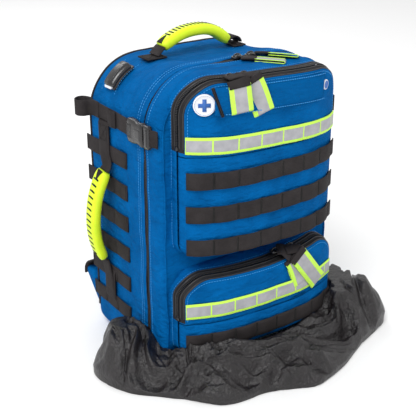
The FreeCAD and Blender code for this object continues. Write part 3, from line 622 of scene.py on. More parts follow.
def ride(piece, body, replaces=()):
    """Puts a piece on a body, in place of CAD nodes."""
    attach(piece, body)
    if replaces:
        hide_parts(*replaces)
    return piece


def blend(piece, start, end, replaces=()):
    """Bakes a piece where it stands and hides the CAD nodes it replaces; it is tied to no body. start and end
    are not used.
    """
    start, end = (tuple(np.array(point, float) * MM) for point in (start, end))
    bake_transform(piece)
    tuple(start)
    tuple(end)
    if replaces:
        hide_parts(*replaces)


# ---------------------------------------------------------------- outlines


class Outline:
    """A rounded rectangle in the plane of the front, sampled the same way at every inset, so
    that outlines can be joined into shells. Points run round from the foot's left end."""

    def __init__(self, half, low, high, top_radius, foot_radius, step=4.5):
        self.sides = (half, low, high)
        self.radii = (foot_radius, foot_radius, top_radius, top_radius)
        across = max(int((2 * half - foot_radius) / step), 8)
        upward = max(int((high - low - top_radius) / step), 8)
        self.counts = [across, upward, across, upward]
        self.arcs = [max(int(r * 1.6 / step), 4) for r in self.radii]

    def points(self, inset=0.0):
        """Arrays of (x, z) and of outward directions."""
        half, low, high = self.sides
        half, low, high = half - inset, low + inset, high - inset
        corners = [(-half, low), (half, low), (half, high), (-half, high)]
        limit = min(half, (high - low) / 2) * 0.95
        radii = [min(max(r - inset, 1.0), limit) for r in self.radii]
        along = [(1, 0), (0, 1), (-1, 0), (0, -1)]
        places, normals = [], []
        for i in range(4):
            d = np.array(along[i], float)
            n = np.array([d[1], -d[0]])
            start = np.array(corners[i]) + d * radii[i]
            following = (i + 1) % 4
            end = np.array(corners[following]) - d * radii[following]
            for t in np.linspace(0, 1, self.counts[i], endpoint=False):
                places.append(start + (end - start) * t)
                normals.append(n)
            centre = end - n * radii[following]
            for t in np.linspace(0, math.pi / 2, self.arcs[following], endpoint=False):
                turned = n * math.cos(t) + d * math.sin(t)
                places.append(centre + turned * radii[following])
                normals.append(turned)
        return np.array(places), np.array(normals)


def shell(name, outline, rings, shape):
    """A shell made of outlines. rings gives (forward, inset), and shape() finishes each ring's
    points. The first step round the slit's lip takes the darker grey lining as painted shade
    in the slit, and one face closes the last ring. Gives the piece and its rings."""
    loops = []
    for forward, inset in rings:
        flat, normals = outline.points(inset)
        depth = np.full(len(flat), float(forward))
        ring = np.stack([flat[:, 0], -depth, flat[:, 1]], 1)
        loops.append(shape(ring, normals))
    columns = len(loops[0])
    faces = grid_faces(len(loops), columns, True)
    faces.append(tuple((len(loops) - 1) * columns + j for j in range(columns)))
    # The first strip, the slit's lip, takes the grey lining (index 1) as painted shade inside the slit.
    tags = [1] * columns + [0] * (len(faces) - columns)
    return put_mesh(name, np.concatenate(loops), faces, ["blue", "lining"], tags), loops


def step_between(low, high, value):
    """A smooth step from 0 at low to 1 at high."""
    t = np.clip((np.asarray(value, float) - low) / (high - low), 0, 1)
    return t * t * (3 - 2 * t)


make_camera()
make_studio()
MATERIALS = make_materials()


# ---------------------------------------------------------------- main compartment

shell_low, shell_high = span("rear_shell")
lid_low, _ = span("lid_shell")
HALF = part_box("side_webbing_rows")[1].x / MM - 2
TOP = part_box("top_handle_anchors")[0].z / MM
BACK = shell_high[1]
LID_FACE = -lid_low[1]
SLIT = (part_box("main_zip_rear")[0].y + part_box("main_zip_front")[1].y) / -2 / MM
CORNER = 85
FOOT_CORNER = 22
MIDDLE_HEIGHT = 230  # a level well inside the pack, to turn its faces outward from
SLIDER_X = (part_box("main_slider_left")[0].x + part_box("main_slider_right")[1].x) / 2 / MM


def top_slope(forward):
    """How far the pack's top stands above its CAD height: highest at the slit, lower behind."""
    return 3 - 9 * step_between(-SLIT, SLIT, -np.asarray(forward))


def slit_gap(x, z):
    """Half the visible width of the main slit: thin at the top, wider low down and by the
    sliders."""
    near_sliders = 7.0 * np.exp(-(((x - SLIDER_X + 12) / 40) ** 2)) * step_between(TOP - 40, TOP - 10, z)
    return 1.7 + 3.6 * (1 - step_between(300, 390, z)) + near_sliders


def rumple(ring, normals, size, amount, seed):
    """Moves points along their outward directions by soft noise."""
    moved = ring.copy()
    for i, p in enumerate(ring):
        push = waver(p, size, amount, seed) + waver(p, size / 3, amount / 3, seed + 5)
        moved[i, 0] += normals[i, 0] * push
        moved[i, 2] += normals[i, 1] * push
    return moved


def shape_main(ring, normals, seed, side):
    """Slopes the top, opens the slit and rumples the cloth. side is +1 behind the slit and -1
    in front of it."""
    moved = rumple(ring, normals, 62, 1.8, seed)
    share = step_between(TOP * 0.5, TOP, ring[:, 2])
    moved[:, 2] += top_slope(-ring[:, 1]) * share
    gap = slit_gap(ring[:, 0], ring[:, 2])
    distance = np.abs(-ring[:, 1] - SLIT)
    near = np.clip(1 - distance / 14, 0, 1)
    moved[:, 1] += side * gap * near
    return moved


def make_rear_shell():
    """The blue cloth behind the slit: sides, rounded rear edge and back."""
    outline = Outline(HALF, shell_low[2], TOP, CORNER, FOOT_CORNER)
    rings = [(SLIT - 0.4, 3.2), (SLIT, 1.2), (SLIT - 0.1, 0.4), (SLIT - 1.2, 0)]
    rings += [(f, 0) for f in np.arange(SLIT - 6, -BACK + 30, -6.0)]
    edge = 24
    for angle in np.linspace(0, math.pi / 2, 8):
        rings.append((-(BACK - edge) - edge * math.sin(angle), edge * (1 - math.cos(angle))))
    rings += [(-BACK, edge + t) for t in (4, 10, 18, 30, 45, 62, 82, 104, 125)]

    def shape(ring, normals):
        return shape_main(ring, normals, 1.0, 1)

    piece, loops = shell("rear_shell_cloth", outline, rings, shape)
    face_outward(piece, (0, 0, MIDDLE_HEIGHT))
    thicken(piece, 3.4, 1)
    ride(piece, "main_body", ["rear_shell"])
    return loops


def make_lid_shell():
    """The blue cloth in front of the slit: sides, rounded front edge and rippled face."""
    outline = Outline(HALF, lid_low[2] + 0.5, TOP, CORNER, 10)
    rings = [(SLIT + 0.4, 3.2), (SLIT, 1.2), (SLIT + 0.1, 0.4), (SLIT + 1.2, 0)]
    rings += [(SLIT + d, 0) for d in (5, 9, 12)]
    start, depth, inset = SLIT + 12, LID_FACE - SLIT - 12, 8
    for angle in np.linspace(0, math.pi / 2, 8)[1:]:
        rings.append((start + depth * math.sin(angle), inset * (1 - math.cos(angle))))
    rings += [(LID_FACE, inset + t) for t in (2, 5, 9, 14, 20, 28, 38, 50, 64, 80, 98, 118, 140)]

    def shape(ring, normals):
        moved = shape_main(ring, normals, 3.0, -1)
        if abs(ring[0, 1] + LID_FACE) < 0.1:
            for i, p in enumerate(ring):
                moved[i, 1] -= 1.2 + waver(p, 34, 2.6, 8.0) + waver(p, 13, 1.1, 2.0)
        return moved

    piece, loops = shell("lid_cloth", outline, rings, shape)
    face_outward(piece, (0, -60, MIDDLE_HEIGHT))
    thicken(piece, 3.2, 1)
    ride(piece, "front_lid", ["lid_shell"])
    return loops


def ring_normals(loop):
    """Outward directions of a loop of points round the pack."""
    along = np.roll(loop, -1, 0) - np.roll(loop, 1, 0)
    return unit(np.cross(along, (0, -1, 0)))


def loop_part(loop, low):
    """The part of a closed loop above a level, as an open path that starts on the right."""
    normals = ring_normals(loop)
    above = loop[:, 2] > low
    first = next(i for i in range(len(loop)) if above[i] and not above[i - 1])
    order = [(first + k) % len(loop) for k in range(int(above.sum()))]
    return loop[order], normals[order]


def path_normals(path):
    """Outward directions along an open path, whose ends take their neighbours'."""
    out = ring_normals(path)
    out[0], out[-1] = out[1], out[-2]
    return out


def make_main_zip():
    """Tape and teeth inside the slit, one half on each side of it."""
    outline = Outline(HALF, shell_low[2], TOP, CORNER, FOOT_CORNER)
    sunk = 2.2
    flat, _ = outline.points(sunk)
    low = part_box("main_zip_rear")[0].z / MM
    for side, body, node in ((1, "main_body", "main_zip_rear"), (-1, "front_lid", "main_zip_front")):
        rows = []
        for distance in (0.25, 2.75, 9.0):
            ring = np.stack([flat[:, 0], np.full(len(flat), -SLIT + side * distance), flat[:, 1]], 1)
            ring[:, 2] += 3 * step_between(TOP * 0.5, TOP, ring[:, 2])
            rows.append(loop_part(ring, low)[0])
        count = len(rows[0])
        strip = [(4.5 * j, 3.0 * i) for i in range(len(rows)) for j in range(count)]
        faces = grid_faces(len(rows), count, False)
        tape = put_mesh(node + "_tape", np.concatenate(rows), faces, "tape", strip=strip)
        face_outward(tape, (0, -SLIT, MIDDLE_HEIGHT))
        thicken(tape, 1.0)
        path, out = rows[0] + np.array([0, side * 1.2, 0]), path_normals(rows[0])
        teeth = rows_of_bars(node + "_teeth", path, out, 2.6, (1.5, 3.0, 1.6), "teeth", 0.3)
        ride(join(node + "_coil", [tape, teeth]), body, [node])


rear_loops = make_rear_shell()
lid_loops = make_lid_shell()
make_main_zip()


def stitch_path(name, path, out, body):
    """A row of light stitches along a path."""
    piece = rows_of_bars(name, path + unit(out) * 0.1, out, 4.2, (3.3, 1.25, 0.7), "thread", 0.1)
    ride(piece, body)


def make_main_seams():
    """Topstitching beside the slit and piping round the lid's front edge."""
    for i in (5, 6):
        path, out = loop_part(rear_loops[i], 30)
        stitch_path(f"rear_seam_{i}", path, out, "main_body")
    path, out = loop_part(lid_loops[5], 34)
    stitch_path("lid_seam", path, out, "front_lid")
    edge, out = loop_part(lid_loops[13], 34)
    piping = tube("lid_piping", resample(edge + out * 0.4 + np.array([0, -0.6, 0]), 4), 1.4, "blue")
    ride(piping, "front_lid")
    back_edge, out = loop_part(rear_loops[-15], 30)
    piping = tube("rear_piping", resample(back_edge + out * 0.8, 5), 2.0, "webbing")
    ride(piping, "main_body")


make_main_seams()


# ---------------------------------------------------------------- pockets

ZIP_WIDTH = 26
ZIP_LEAN = math.radians(11)


class Pocket:
    """A cushion-shaped pocket on the lid. Its face bulges in the middle, and a zip band joins
    it to a gusset that stands on the lid. drop and power shape the bulge, zip_end is the level
    of the zip's ends, and sags and sag_from say how far the cloth hangs and between what
    levels that begins."""

    def __init__(self, kind, edge_high, top_radius, drop, power, zip_end, sags, sag_from):
        low, high = span(f"{kind}_pocket")
        self.kind = kind
        self.half = high[0]
        self.low = low[2]
        self.front = -low[1]
        self.fold = (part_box(f"{kind}_flap")[0].z / MM) - 1.75
        self.drop, self.power, self.zip_end = drop, power, zip_end
        self.sags, self.sag_from = sags, sag_from
        self.top = edge_high
        self.outline = Outline(self.half, self.low, edge_high, top_radius, 14)

    def face(self, x):
        """Forward distance of the face at x."""
        return self.front + 4.5 - self.drop * np.abs(np.asarray(x, float) / self.half) ** self.power

    def lower_top(self, x, z):
        """How far the cloth hangs below its straight outline, between three places across."""
        amount = np.interp(x, (-self.half, 0, self.half), self.sags)
        return amount * step_between(*self.sag_from, z)

    def face_points(self, inset):
        """A ring of the face at an inset from its edge."""
        flat, normals = self.outline.points(inset)
        x, z = flat[:, 0], flat[:, 1]
        forward = self.face(x)
        for gap, reach, amount in ((self.top - z, 16, 5.0), (z - self.low, 14, 4.0)):
            forward = forward - amount * np.clip(1 - gap / reach, 0, 1) ** 2
        ring = np.stack([x, -forward, z - self.lower_top(x, z)], 1)
        fade = min(inset / 12, 1)
        for i, p in enumerate(ring):
            ring[i, 1] -= fade * (waver(p, 48, 2.4, 4.0) + waver(p, 17, 0.7, 9.0))
        return ring, normals

    def band_points(self, share):
        """A ring of the zip band: share 0 is the face's edge and 1 the gusset's."""
        edge, normals = self.face_points(0)
        reach = ZIP_WIDTH * share
        bow = 1.6 * math.sin(math.pi * share)
        ring = edge.copy()
        ring[:, 1] += reach * math.cos(ZIP_LEAN)
        lean = reach * math.sin(ZIP_LEAN) + bow
        ring[:, 0] += normals[:, 0] * lean
        ring[:, 2] += normals[:, 1] * lean
        ring[:, 1] = np.minimum(ring[:, 1], -LID_FACE - 1.2 + share)
        return ring, normals

    def base_points(self, share):
        """A ring of the gusset: share 0 is the zip's edge and 1 the lid."""
        outer, normals = self.band_points(1)
        foot = outer.copy()
        foot[:, 0] += normals[:, 0] * 4
        foot[:, 2] += normals[:, 1] * 3
        foot[:, 1] = -LID_FACE + 0.5
        ring = outer + (foot - outer) * share
        for i, p in enumerate(ring):
            push = waver(p, 26, 2.2, 6.0) * math.sin(math.pi * share)
            ring[i, 0] += normals[i, 0] * push
            ring[i, 2] += normals[i, 1] * push
        return ring, normals

    def surface(self, rings):
        """A mesh through rings. Rings tagged as tape are black above the zip's end."""
        columns = len(rings[0][0])
        points = np.concatenate([r for r, _ in rings])
        faces = grid_faces(len(rings), columns, True)
        tags = []
        for i in range(len(rings) - 1):
            for j in range(columns):
                tape = rings[i][1] and rings[i + 1][1] and rings[i][0][j, 2] > self.zip_end
                tags.append(1 if tape else 0)
        strip = [(4.5 * j, 3.0 * i) for i in range(len(rings)) for j in range(columns)]
        return points, faces, tags, strip, columns

    def build(self):
        """The gusset and the face, cut at the fold into the pocket's cloth and the flap's."""
        kind = self.kind
        outer = [(self.base_points(t)[0], False) for t in (1, 0.75, 0.5, 0.25, 0)]
        outer += [(self.band_points(t)[0], True) for t in (0.999, 0.85, 0.7, 0.57)]
        points, faces, tags, strip, _ = self.surface(outer)
        gusset = put_mesh(kind + "_gusset", points, faces, ["blue", "tape", "lining"], tags, strip)
        face_outward(gusset, (0, -LID_FACE - 20, (self.low + self.top) / 2))
        inner = [(self.band_points(t)[0], True) for t in (0.43, 0.3, 0.15, 0.0)]
        insets = [1.5, 4, 8, 13, 19, 26, 34, 43, 53]
        limit = min(self.half, (self.top - self.low) / 2) * 0.94
        insets += list(np.arange(63, limit, 9))
        inner += [(self.face_points(t)[0], False) for t in insets if t < limit]
        points, faces, tags, strip, columns = self.surface(inner)
        faces.append(tuple((len(inner) - 1) * columns + j for j in range(columns)))
        tags.append(0)
        parts = []
        for above in (True, False):
            part = put_mesh(f"{kind}_face_{above}", points, faces, ["blue", "tape", "lining"], tags, strip)
            face_outward(part, (0, -LID_FACE - 10, (self.low + self.top) / 2))
            cut_at(part, self.fold + (0.8 if above else -0.8), above)
            parts.append(thicken(part, 1.8, 2))
        flap, below = parts
        thicken(gusset, 1.6, 2)
        pocket = join(f"{kind}_pocket_cloth", [gusset, below])
        ride(pocket, "front_lid", [f"{kind}_pocket"])
        flap.name = f"{kind}_flap_cloth"
        ride(flap, f"{kind}_flap", [f"{kind}_flap"])

    def coil(self):
        """Zip teeth on both halves, and a stop at each end of the zip."""
        for share, body, node in (
            (0.53, "front_lid", f"{self.kind}_zip_tape"),
            (0.47, f"{self.kind}_flap", f"{self.kind}_flap_zip"),
        ):
            ring, normals = self.band_points(share)
            path, _ = loop_part(ring, self.zip_end + 2)
            out = path_normals(path)
            teeth = rows_of_bars(node + "_teeth", path, out, 2.4, (1.4, 2.6, 1.5), "teeth", 0.1)
            stops = []
            for end in (0, -1):
                place = path[end]
                stop = rounded_box(f"{node}_stop{end}", place - 2.4, place + 2.4, 1.0, "metal", 3)
                stops.append(stop)
            cords = []
            for k, offset in enumerate((0.15, 0.4)):
                cord_ring, _ = self.band_points(share + (offset if share > 0.5 else -offset))
                cord, _ = loop_part(cord_ring, self.zip_end + 1)
                cords.append(tube(f"{node}_cord{k}", cord, 1.0, "teeth", 6))
            ride(join(node + "_coil", [teeth, *cords, *stops]), body, [node])

    def seams(self):
        """Stitching on both sides of the zip band."""
        ring, _ = self.base_points(0.12)
        path, out = loop_part(ring, self.low + 6)
        stitch_path(f"{self.kind}_gusset_seam", path, out, "front_lid")
        ring, _ = self.face_points(3.2)
        path, _ = loop_part(ring, self.fold + 4)
        out = np.tile((0, -1.0, 0), (len(path), 1))
        stitch_path(f"{self.kind}_face_seam", path, out, f"{self.kind}_flap")

    def across(self, start, end, z, step=2.5):
        """A path over the face at one height, and its outward directions."""
        x = np.linspace(start, end, int((end - start) / step))
        path = np.stack([x, -self.face(x), np.full(len(x), z) - self.lower_top(x, z)], 1)
        for i, p in enumerate(path):
            path[i, 1] -= waver(p, 48, 2.4, 4.0) * 0.8
        slope = np.gradient(path[:, 1], path[:, 0])
        out = unit(np.stack([slope, -np.ones(len(x)), np.zeros(len(x))], 1))
        return path, out


upper = Pocket(
    "upper", edge_high=456, top_radius=46, drop=34, power=3.4, zip_end=362,
    sags=(-2.5, 1.0, 7.0), sag_from=(335, 385),
)
lower = Pocket(
    "lower", edge_high=174, top_radius=38, drop=27, power=2.6, zip_end=97,
    sags=(10, 11, 0), sag_from=(120, 172),
)


def puffs(s):
    """How far a sewn strip stands off: 0 at each column of the grid, 1 halfway between."""
    return np.abs(np.sin(math.pi * s / COLUMN)) ** 0.6


def face_strip(pocket, name, z_low, z_high, material, thickness, inset, puff):
    """A strip across a pocket's face, sewn down at every column of the grid."""
    edge = pocket.half - inset
    path, out = pocket.across(-edge, edge, (z_low + z_high) / 2)
    s = lengths(path)
    lift = 0.7 + 1.35 * puff * puffs(s)
    return ribbon(name, path, out, z_high - z_low, thickness, material, lift), path, out, s


def column_tacks_and_groove_shade(name, path, out, s):
    """Bar tacks at every column of a row of webbing, drawn as continuous dark bars that also paint the shade
    of the groove where the webbing is sewn down.
    """
    pieces = []
    reach = np.linspace(-WEBBING / 2 + 2, WEBBING / 2 - 2, 12)
    for k in range(1, int(s[-1] / COLUMN) + 1):
        i = int(np.argmin(np.abs(s - k * COLUMN)))
        foot = path[i] + out[i] * 2.6
        tack = np.array([foot + (0, 0, z) for z in reach])
        # Dark thread bars close enough to join into one dark bar: a real tack plus painted groove shade.
        pieces.append(rows_of_bars(f"{name}{k}", tack, out[i], 1.6, (1.7, 3.2, 0.9), "dark_thread", 0.1))
    return join(name, pieces)


def make_face_strips():
    """Three rows of webbing on the upper pocket, one on the lower, and a band on each flap."""
    low, high = span("upper_webbing_rows")
    pitch = (high[2] - low[2] - WEBBING) / 2
    rows, tacks = [], []
    for k in range(3):
        z = low[2] + k * pitch
        row, path, out, s = face_strip(upper, f"upper_row{k}", z, z + WEBBING, "webbing", 1.7, 1.0, 1.6)
        rows.append(row)
        tacks.append(column_tacks_and_groove_shade(f"upper_tack{k}_", path, out, s))
    ride(join("upper_webbing", rows), "front_lid", ["upper_webbing_rows"])
    ride(join("upper_webbing_tacks_and_groove_shade", tacks), "front_lid")
    low, high = span("lower_webbing_row")
    row, path, out, s = face_strip(lower, "lower_webbing", low[2], high[2], "webbing", 1.7, 1.0, 1.4)
    ride(row, "front_lid", ["lower_webbing_row"])
    ride(column_tacks_and_groove_shade("lower_webbing_tacks_and_groove_shade", path, out, s), "front_lid")
    for pocket in (upper, lower):
        node = f"{pocket.kind}_reflective_band"
        low, high = span(node)
        band, _, _, _ = face_strip(pocket, node + "_tape", low[2], high[2], "band", 1.2, 1.0, 0.5)
        ride(band, f"{pocket.kind}_flap", [node])


def make_fold_strips():
    """A strip of cloth behind each flap's fold, between the flap and its pocket."""
    count = 90
    heights = np.linspace(-6, 6, 9)
    for pocket in (upper, lower):
        fold = pocket.fold
        x = np.linspace(-pocket.half + 0.6, pocket.half - 0.6, count)
        bulge = np.array([0.8 * waver((a, -pocket.front, fold), 48, 2.4, 4.0) for a in x])
        ends = np.clip((pocket.half - np.abs(x)) / 6, 0, 1)
        depth = -pocket.face(x) + 3.0 + bulge + 9 * (1 - ends) ** 2
        hang = pocket.lower_top(x, np.full(count, fold))
        points = np.concatenate([np.stack([x, depth, fold + h - hang], 1) for h in heights])
        faces = grid_faces(len(heights), count, False)
        strip = [(a, b) for b in heights for a in x]
        cloth = put_mesh(f"{pocket.kind}_fold_strip", points, faces, ["blue", "lining"], strip=strip)
        face_outward(cloth, (0, 0, fold))
        thicken(cloth, 0.9, 1)
        start, end = ((0, -pocket.face(0), fold + h) for h in (-4, 4))
        blend(cloth, start, end)


def make_name_panel():
    """A soft loop panel with a dark binding on its lifted left edge."""
    low, high = span("name_panel")
    path, out = upper.across(low[0] - 5, high[0], (low[2] + high[2]) / 2 + 2)
    s = lengths(path)
    lift = 1.0 + 3.5 * np.clip(1 - s / 30, 0, 1) ** 2
    panel = ribbon("name_panel_loop", path, out, 39, 2.0, "loop", lift)
    ride(panel, "upper_flap", ["name_panel"])
    foot, head = path[4].copy(), path[0].copy()
    foot[2] -= 20.5
    head[2] += 20.5
    edge = np.linspace(head + out[0] * 4.5 + np.array([-4, 0, 0]), foot + out[2] * 4.5, 20)
    binding = ribbon("name_panel_binding", edge, out[0], 4.5, 3.0, "webbing")
    ride(binding, "upper_flap")
    seam = path + out * 3.4
    seam[:, 2] -= 18.5
    stitch_path("name_panel_seam", seam[6:], out[6:], "upper_flap")
    seam = seam.copy()
    seam[:, 2] += 37
    stitch_path("name_panel_seam_top", seam[6:], out[6:], "upper_flap")


def disc(name, centre, out, radius, rings, materials):
    """A domed disc. rings gives (share of the radius, height, material index)."""
    out = unit(out)
    side = unit(np.cross((0, 0, 1), out))
    up = np.cross(out, side)
    points, tags, count = [], [], 48
    for share, height, _ in rings:
        for k in range(count):
            a = 2 * math.pi * k / count
            points.append(centre + radius * share * (math.cos(a) * side + math.sin(a) * up) + out * height)
    faces = grid_faces(len(rings), count, True)
    for i in range(len(rings) - 1):
        tags += [rings[i][2]] * count
    faces.append(tuple((len(rings) - 1) * count + j for j in range(count)))
    tags.append(rings[-1][2])
    faces.append(tuple(range(count))[::-1])
    tags.append(0)
    return face_outward(put_mesh(name, points, faces, materials, tags)), side, up


def make_badges():
    """A round white badge with a plain cross, and a small plain tag."""
    low, high = span("round_badge")
    x, z = (low[0] + high[0]) / 2, (low[2] + high[2]) / 2 - 6
    path, out = upper.across(x - 4, x + 4, z)
    middle = len(path) // 2
    centre, normal = path[middle] + out[middle] * 0.8, out[middle]
    rings = [(0.98, -1.5, 0), (1.0, 0.4, 0), (0.99, 1.4, 0), (0.95, 2.2, 0)]
    rings += [(0.88, 2.3, 1), (0.86, 1.7, 0), (0.5, 1.9, 0), (0.05, 2.0, 0)]
    badge, side, up = disc("badge_disc", centre, normal, 15.5, rings, ["white", "badge_blue"])
    bars = [badge]
    for k, (wide, tall) in enumerate(((17, 5.5), (5.5, 17))):
        corners = [(a * wide / 2, b * tall / 2) for a, b in ((-1, -1), (1, -1), (1, 1), (-1, 1))]
        points = [centre + side * a + up * b + normal * h for h in (1.6, 2.7 + 0.02 * k) for a, b in corners]
        faces = [(4, 5, 6, 7), (0, 1, 5, 4), (1, 2, 6, 5), (2, 3, 7, 6), (3, 0, 4, 7), (3, 2, 1, 0)]
        bars.append(put_mesh(f"badge_bar{k}", points, faces, "badge_blue"))
    ride(join("badge_cross_disc", bars), "upper_flap", ["round_badge"])
    path, out = upper.across(89, 99, 433)
    middle = len(path) // 2
    rings = [(0.95, -1, 0), (1.0, 0.6, 0), (0.95, 1.5, 0), (0.8, 1.7, 1), (0.72, 1.3, 1), (0.05, 1.4, 1)]
    centre, normal = path[middle] + out[middle] * 0.5, out[middle]
    tag, _, _ = disc("corner_tag", centre, normal, 7.5, rings, ["white", "badge_blue"])
    ride(tag, "upper_flap")


for pocket in (upper, lower):
    pocket.build()
    pocket.coil()
    pocket.seams()
make_fold_strips()
make_face_strips()
make_name_panel()
make_badges()


# ---------------------------------------------------------------- straps, buckles, handles


def sweep(name, path, out, section, material, scale=None):
    """A bar along a path. section gives (across, up) points, and scale shrinks it at each point
    of the path."""
    path = np.asarray(path, float)
    _, out, across = axes_along(path, out)
    scale = np.ones(len(path)) if scale is None else np.asarray(scale)
    s = lengths(path)
    points, strip = [], []
    for i, centre in enumerate(path):
        for a, u in section:
            points.append(centre + (across[i] * a + out[i] * u) * scale[i])
            strip.append((s[i], a + 20))
    faces = sleeve_faces(len(path), len(section))
    return face_outward(put_mesh(name, points, faces, material, strip=strip))


def rounded_section(width, height, radius, steps=5):
    """The outline of a rounded rectangle."""
    points = []
    for k, (sx, sy) in enumerate(((1, -1), (1, 1), (-1, 1), (-1, -1))):
        for t in np.linspace(-90 + 90 * k, 90 * k, steps):
            a = math.radians(t)
            across = sx * (width / 2 - radius) + radius * math.cos(a)
            points.append((across, sy * (height / 2 - radius) + radius * math.sin(a)))
    return points


def side_skin(side, y, z, above):
    """A point above the pack's side, which follows its rumples."""
    p = (side * HALF, y, z)
    push = waver(p, 62, 1.8, 1.0) + waver(p, 62 / 3, 0.6, 6.0)
    return np.array([side * (HALF + push + above), y, z])


def side_strip(name, side, places, width=WEBBING, thickness=1.8, puff=0.0):
    """A strap on the pack's side through (y, z, lift) places. puff is how far it stands off
    between the columns of the grid."""
    clearance = 0.4
    places = resample(np.array(places, float), 3)
    path = np.array([side_skin(side, y, z, clearance + lift) for y, z, lift in places])
    path[:, 0] += side * puff * puffs(lengths(path))
    return ribbon(name, path, (side, 0, 0), width, thickness, "webbing")


def cross_stitch(name, corners, out):
    """A box of stitches with a cross in it, sewn through four corners."""
    corners = [np.array(c, float) for c in corners]
    lines = [(0, 1), (1, 2), (2, 3), (3, 0), (0, 2), (1, 3)]
    rows = []
    for k, (a, b) in enumerate(lines):
        path = np.linspace(corners[a], corners[b], 8)
        sides = np.tile(out, (8, 1))
        rows.append(rows_of_bars(f"{name}{k}", path, sides, 3.2, (2.2, 0.7, 0.5), "dark_thread"))
    return join(name, rows)


def make_side_webbing():
    """Six rows of webbing on each side, with bar tacks at the columns of the grid."""
    low, high = span("side_webbing_rows")
    reach = np.linspace(-10.5, 10.5, 10)
    size = (1.4, 1.6, 0.6)
    rows = []
    for side in (-1, 1):
        for row in range(6):
            z = high[2] - WEBBING / 2 - row * ROW_PITCH
            ends = [(low[1] + 0.5, z, 0), (high[1] - 2, z, 0)]
            rows.append(side_strip(f"row{side}_{row}", side, ends, puff=1.3))
            for k in range(4):
                y = low[1] + 3 + k * COLUMN
                tack = np.array([side_skin(side, y, z + h, 2.4) for h in reach])
                name = f"tack{side}{row}{k}"
                rows.append(rows_of_bars(name, tack, (side, 0, 0), 1.7, size, "dark_thread"))
    ride(join("side_webbing", rows), "main_body", ["side_webbing_rows"])


def make_compression_straps():
    """A strap, its keeper and its loose tail behind each buckle, and a short strap before it."""
    low, high = span("buckle_sockets")
    z = (low[2] + high[2]) / 2
    back = high[1]
    mouth = span("buckle_tongues")[0][1]
    rear, front = [], []
    for side in (-1, 1):
        strap = [(back + 4, z, 5), (back + 12, z, 1.5), (back + 40, z, 0), (108, z + 2, 0.5), (116, z + 3, 4)]
        rear.append(side_strip(f"rear_strap{side}", side, strap))
        keeper = [(back + 44, z, 2.2), (back + 52, z, 4.6), (back + 66, z - 1, 2.4)]
        rear.append(side_strip(f"keeper{side}", side, keeper, 26))
        tail = [(159, 102), (161, 113), (168, 121), (179, 118), (184, 107), (178, 97), (167, 97)]
        tail += [(161, 91), (161, 76)]
        path = smooth_path([(side * x, y, z + 3) for x, y in tail], 1.5)
        along = unit(np.gradient(path, axis=0))
        rear.append(ribbon(f"tail{side}", path, np.cross((0, 0, side), along), 25, 1.8, "webbing"))
        strap = [(mouth + 8, z, 5.5), (mouth - 2, z, 3.5), (mouth - 7, z, 0.8), (mouth - 13, z, 0.4)]
        front.append(side_strip(f"front_strap{side}", side, strap))
    ride(join("compression_webbing", rear), "main_body", ["compression_straps"])
    ride(join("front_strap_webbing", front), "front_lid", ["front_strap_ends"])


def make_buckles():
    """Side release buckles: a waisted socket with raised ribs and a plate, and a tongue with prongs and a
    bar.
    """
    (_, y_low, z_low), (_, y_high, z_high) = span("buckle_sockets")
    tip = span("buckle_tongues")[0][1]
    z = (z_low + z_high) / 2
    sockets, tongues = [], []
    for side in (-1, 1):

        def block(name, out, y, up, radius, shape=None):
            """A rounded box between two distances out from the pack's side."""
            x = sorted(side * (HALF + distance) for distance in out)
            return rounded_box(name, (x[0], y[0], up[0]), (x[1], y[1], up[1]), radius, "plastic", 5, shape)

        def waist(points):
            """Pulls the socket in at its windows and domes its face."""
            points = points.copy()
            share = (points[:, 1] - y_low) / (y_high - y_low)
            points[:, 2] = z + (points[:, 2] - z) * (1 - 0.16 * np.exp(-(((share - 0.35) / 0.16) ** 2)))
            dome = 1.4 * (1 - ((points[:, 2] - z) / 18) ** 2)
            points[:, 0] += side * np.where(np.abs(points[:, 0]) > HALF + 6, dome, 0)
            return points

        sockets.append(block(f"socket{side}", (0.6, 10.5), (y_low, y_high), (z_low, z_high), 3.2, waist))
        for k, y in enumerate((y_high - 5, y_high - 9, y_high - 13)):
            sockets.append(block(f"rib{side}{k}", (9.5, 12.3), (y - 1.2, y + 1.2), (z - 11, z + 11), 1.1))
        sockets.append(block(f"plate{side}", (9.5, 12.4), (y_low + 4, y_low + 20), (z - 8, z + 8), 1.3))
        tongues.append(block(f"tongue{side}", (1.2, 9.8), (tip, y_low - 1.5), (z_low + 1, z_high - 1), 2.4))
        for k, middle in enumerate((z - 13.2, z + 13.2)):
            up = (middle - 3.4, middle + 3.4)
            tongues.append(block(f"prong{side}{k}", (3, 8.5), (y_low - 4, y_low + 17), up, 1.6))
        tongues.append(block(f"bar{side}", (8.5, 11.2), (tip + 2, tip + 6), (z - 13, z + 13), 1.2))
    ride(join("buckle_socket_pair", sockets), "main_body", ["buckle_sockets"])
    ride(join("buckle_tongue_pair", tongues), "front_lid", ["buckle_tongues"])


def make_grip(name, body, node, path, out, width, thickness, notches):
    """A rubber grip with rounded ends, a row of dark slots along its outer face, and the end
    of its webbing showing in a notch at each end."""
    path = resample(path, 3)
    s = lengths(path)
    edge = np.minimum(s, s[-1] - s)
    scale = 0.80 + 0.20 * np.clip(edge / 12, 0, 1) ** 0.5
    grip = sweep(name, path, out, rounded_section(width, thickness, thickness * 0.42), "lime", scale)
    _, out, _ = axes_along(path, out)
    face = path + out * thickness / 2
    keep = (s > 15) & (s < s[-1] - 15)
    pitch = (s[-1] - 34) / (notches - 1)
    size = (3.4, width * 0.5, 0.7)
    slots = rows_of_bars(name + "_slots", face[keep], out[keep], pitch, size, "notch", 0.05)
    pieces = [grip, slots]
    for end in (0, -1):
        order = slice(0, 6) if end == 0 else slice(-1, -7, -1)
        tip = face[order] - out[order] * (thickness / 2) * (1 - scale[order])[:, None]
        taper = np.linspace(width * 0.5, 2.5, len(tip))
        lift = np.full(len(tip), 0.15)
        pieces.append(ribbon(f"{name}_notch{end}", tip, out[order], taper, 0.8, "webbing", lift))
    ride(join(name + "_rubber", pieces), body, [node])


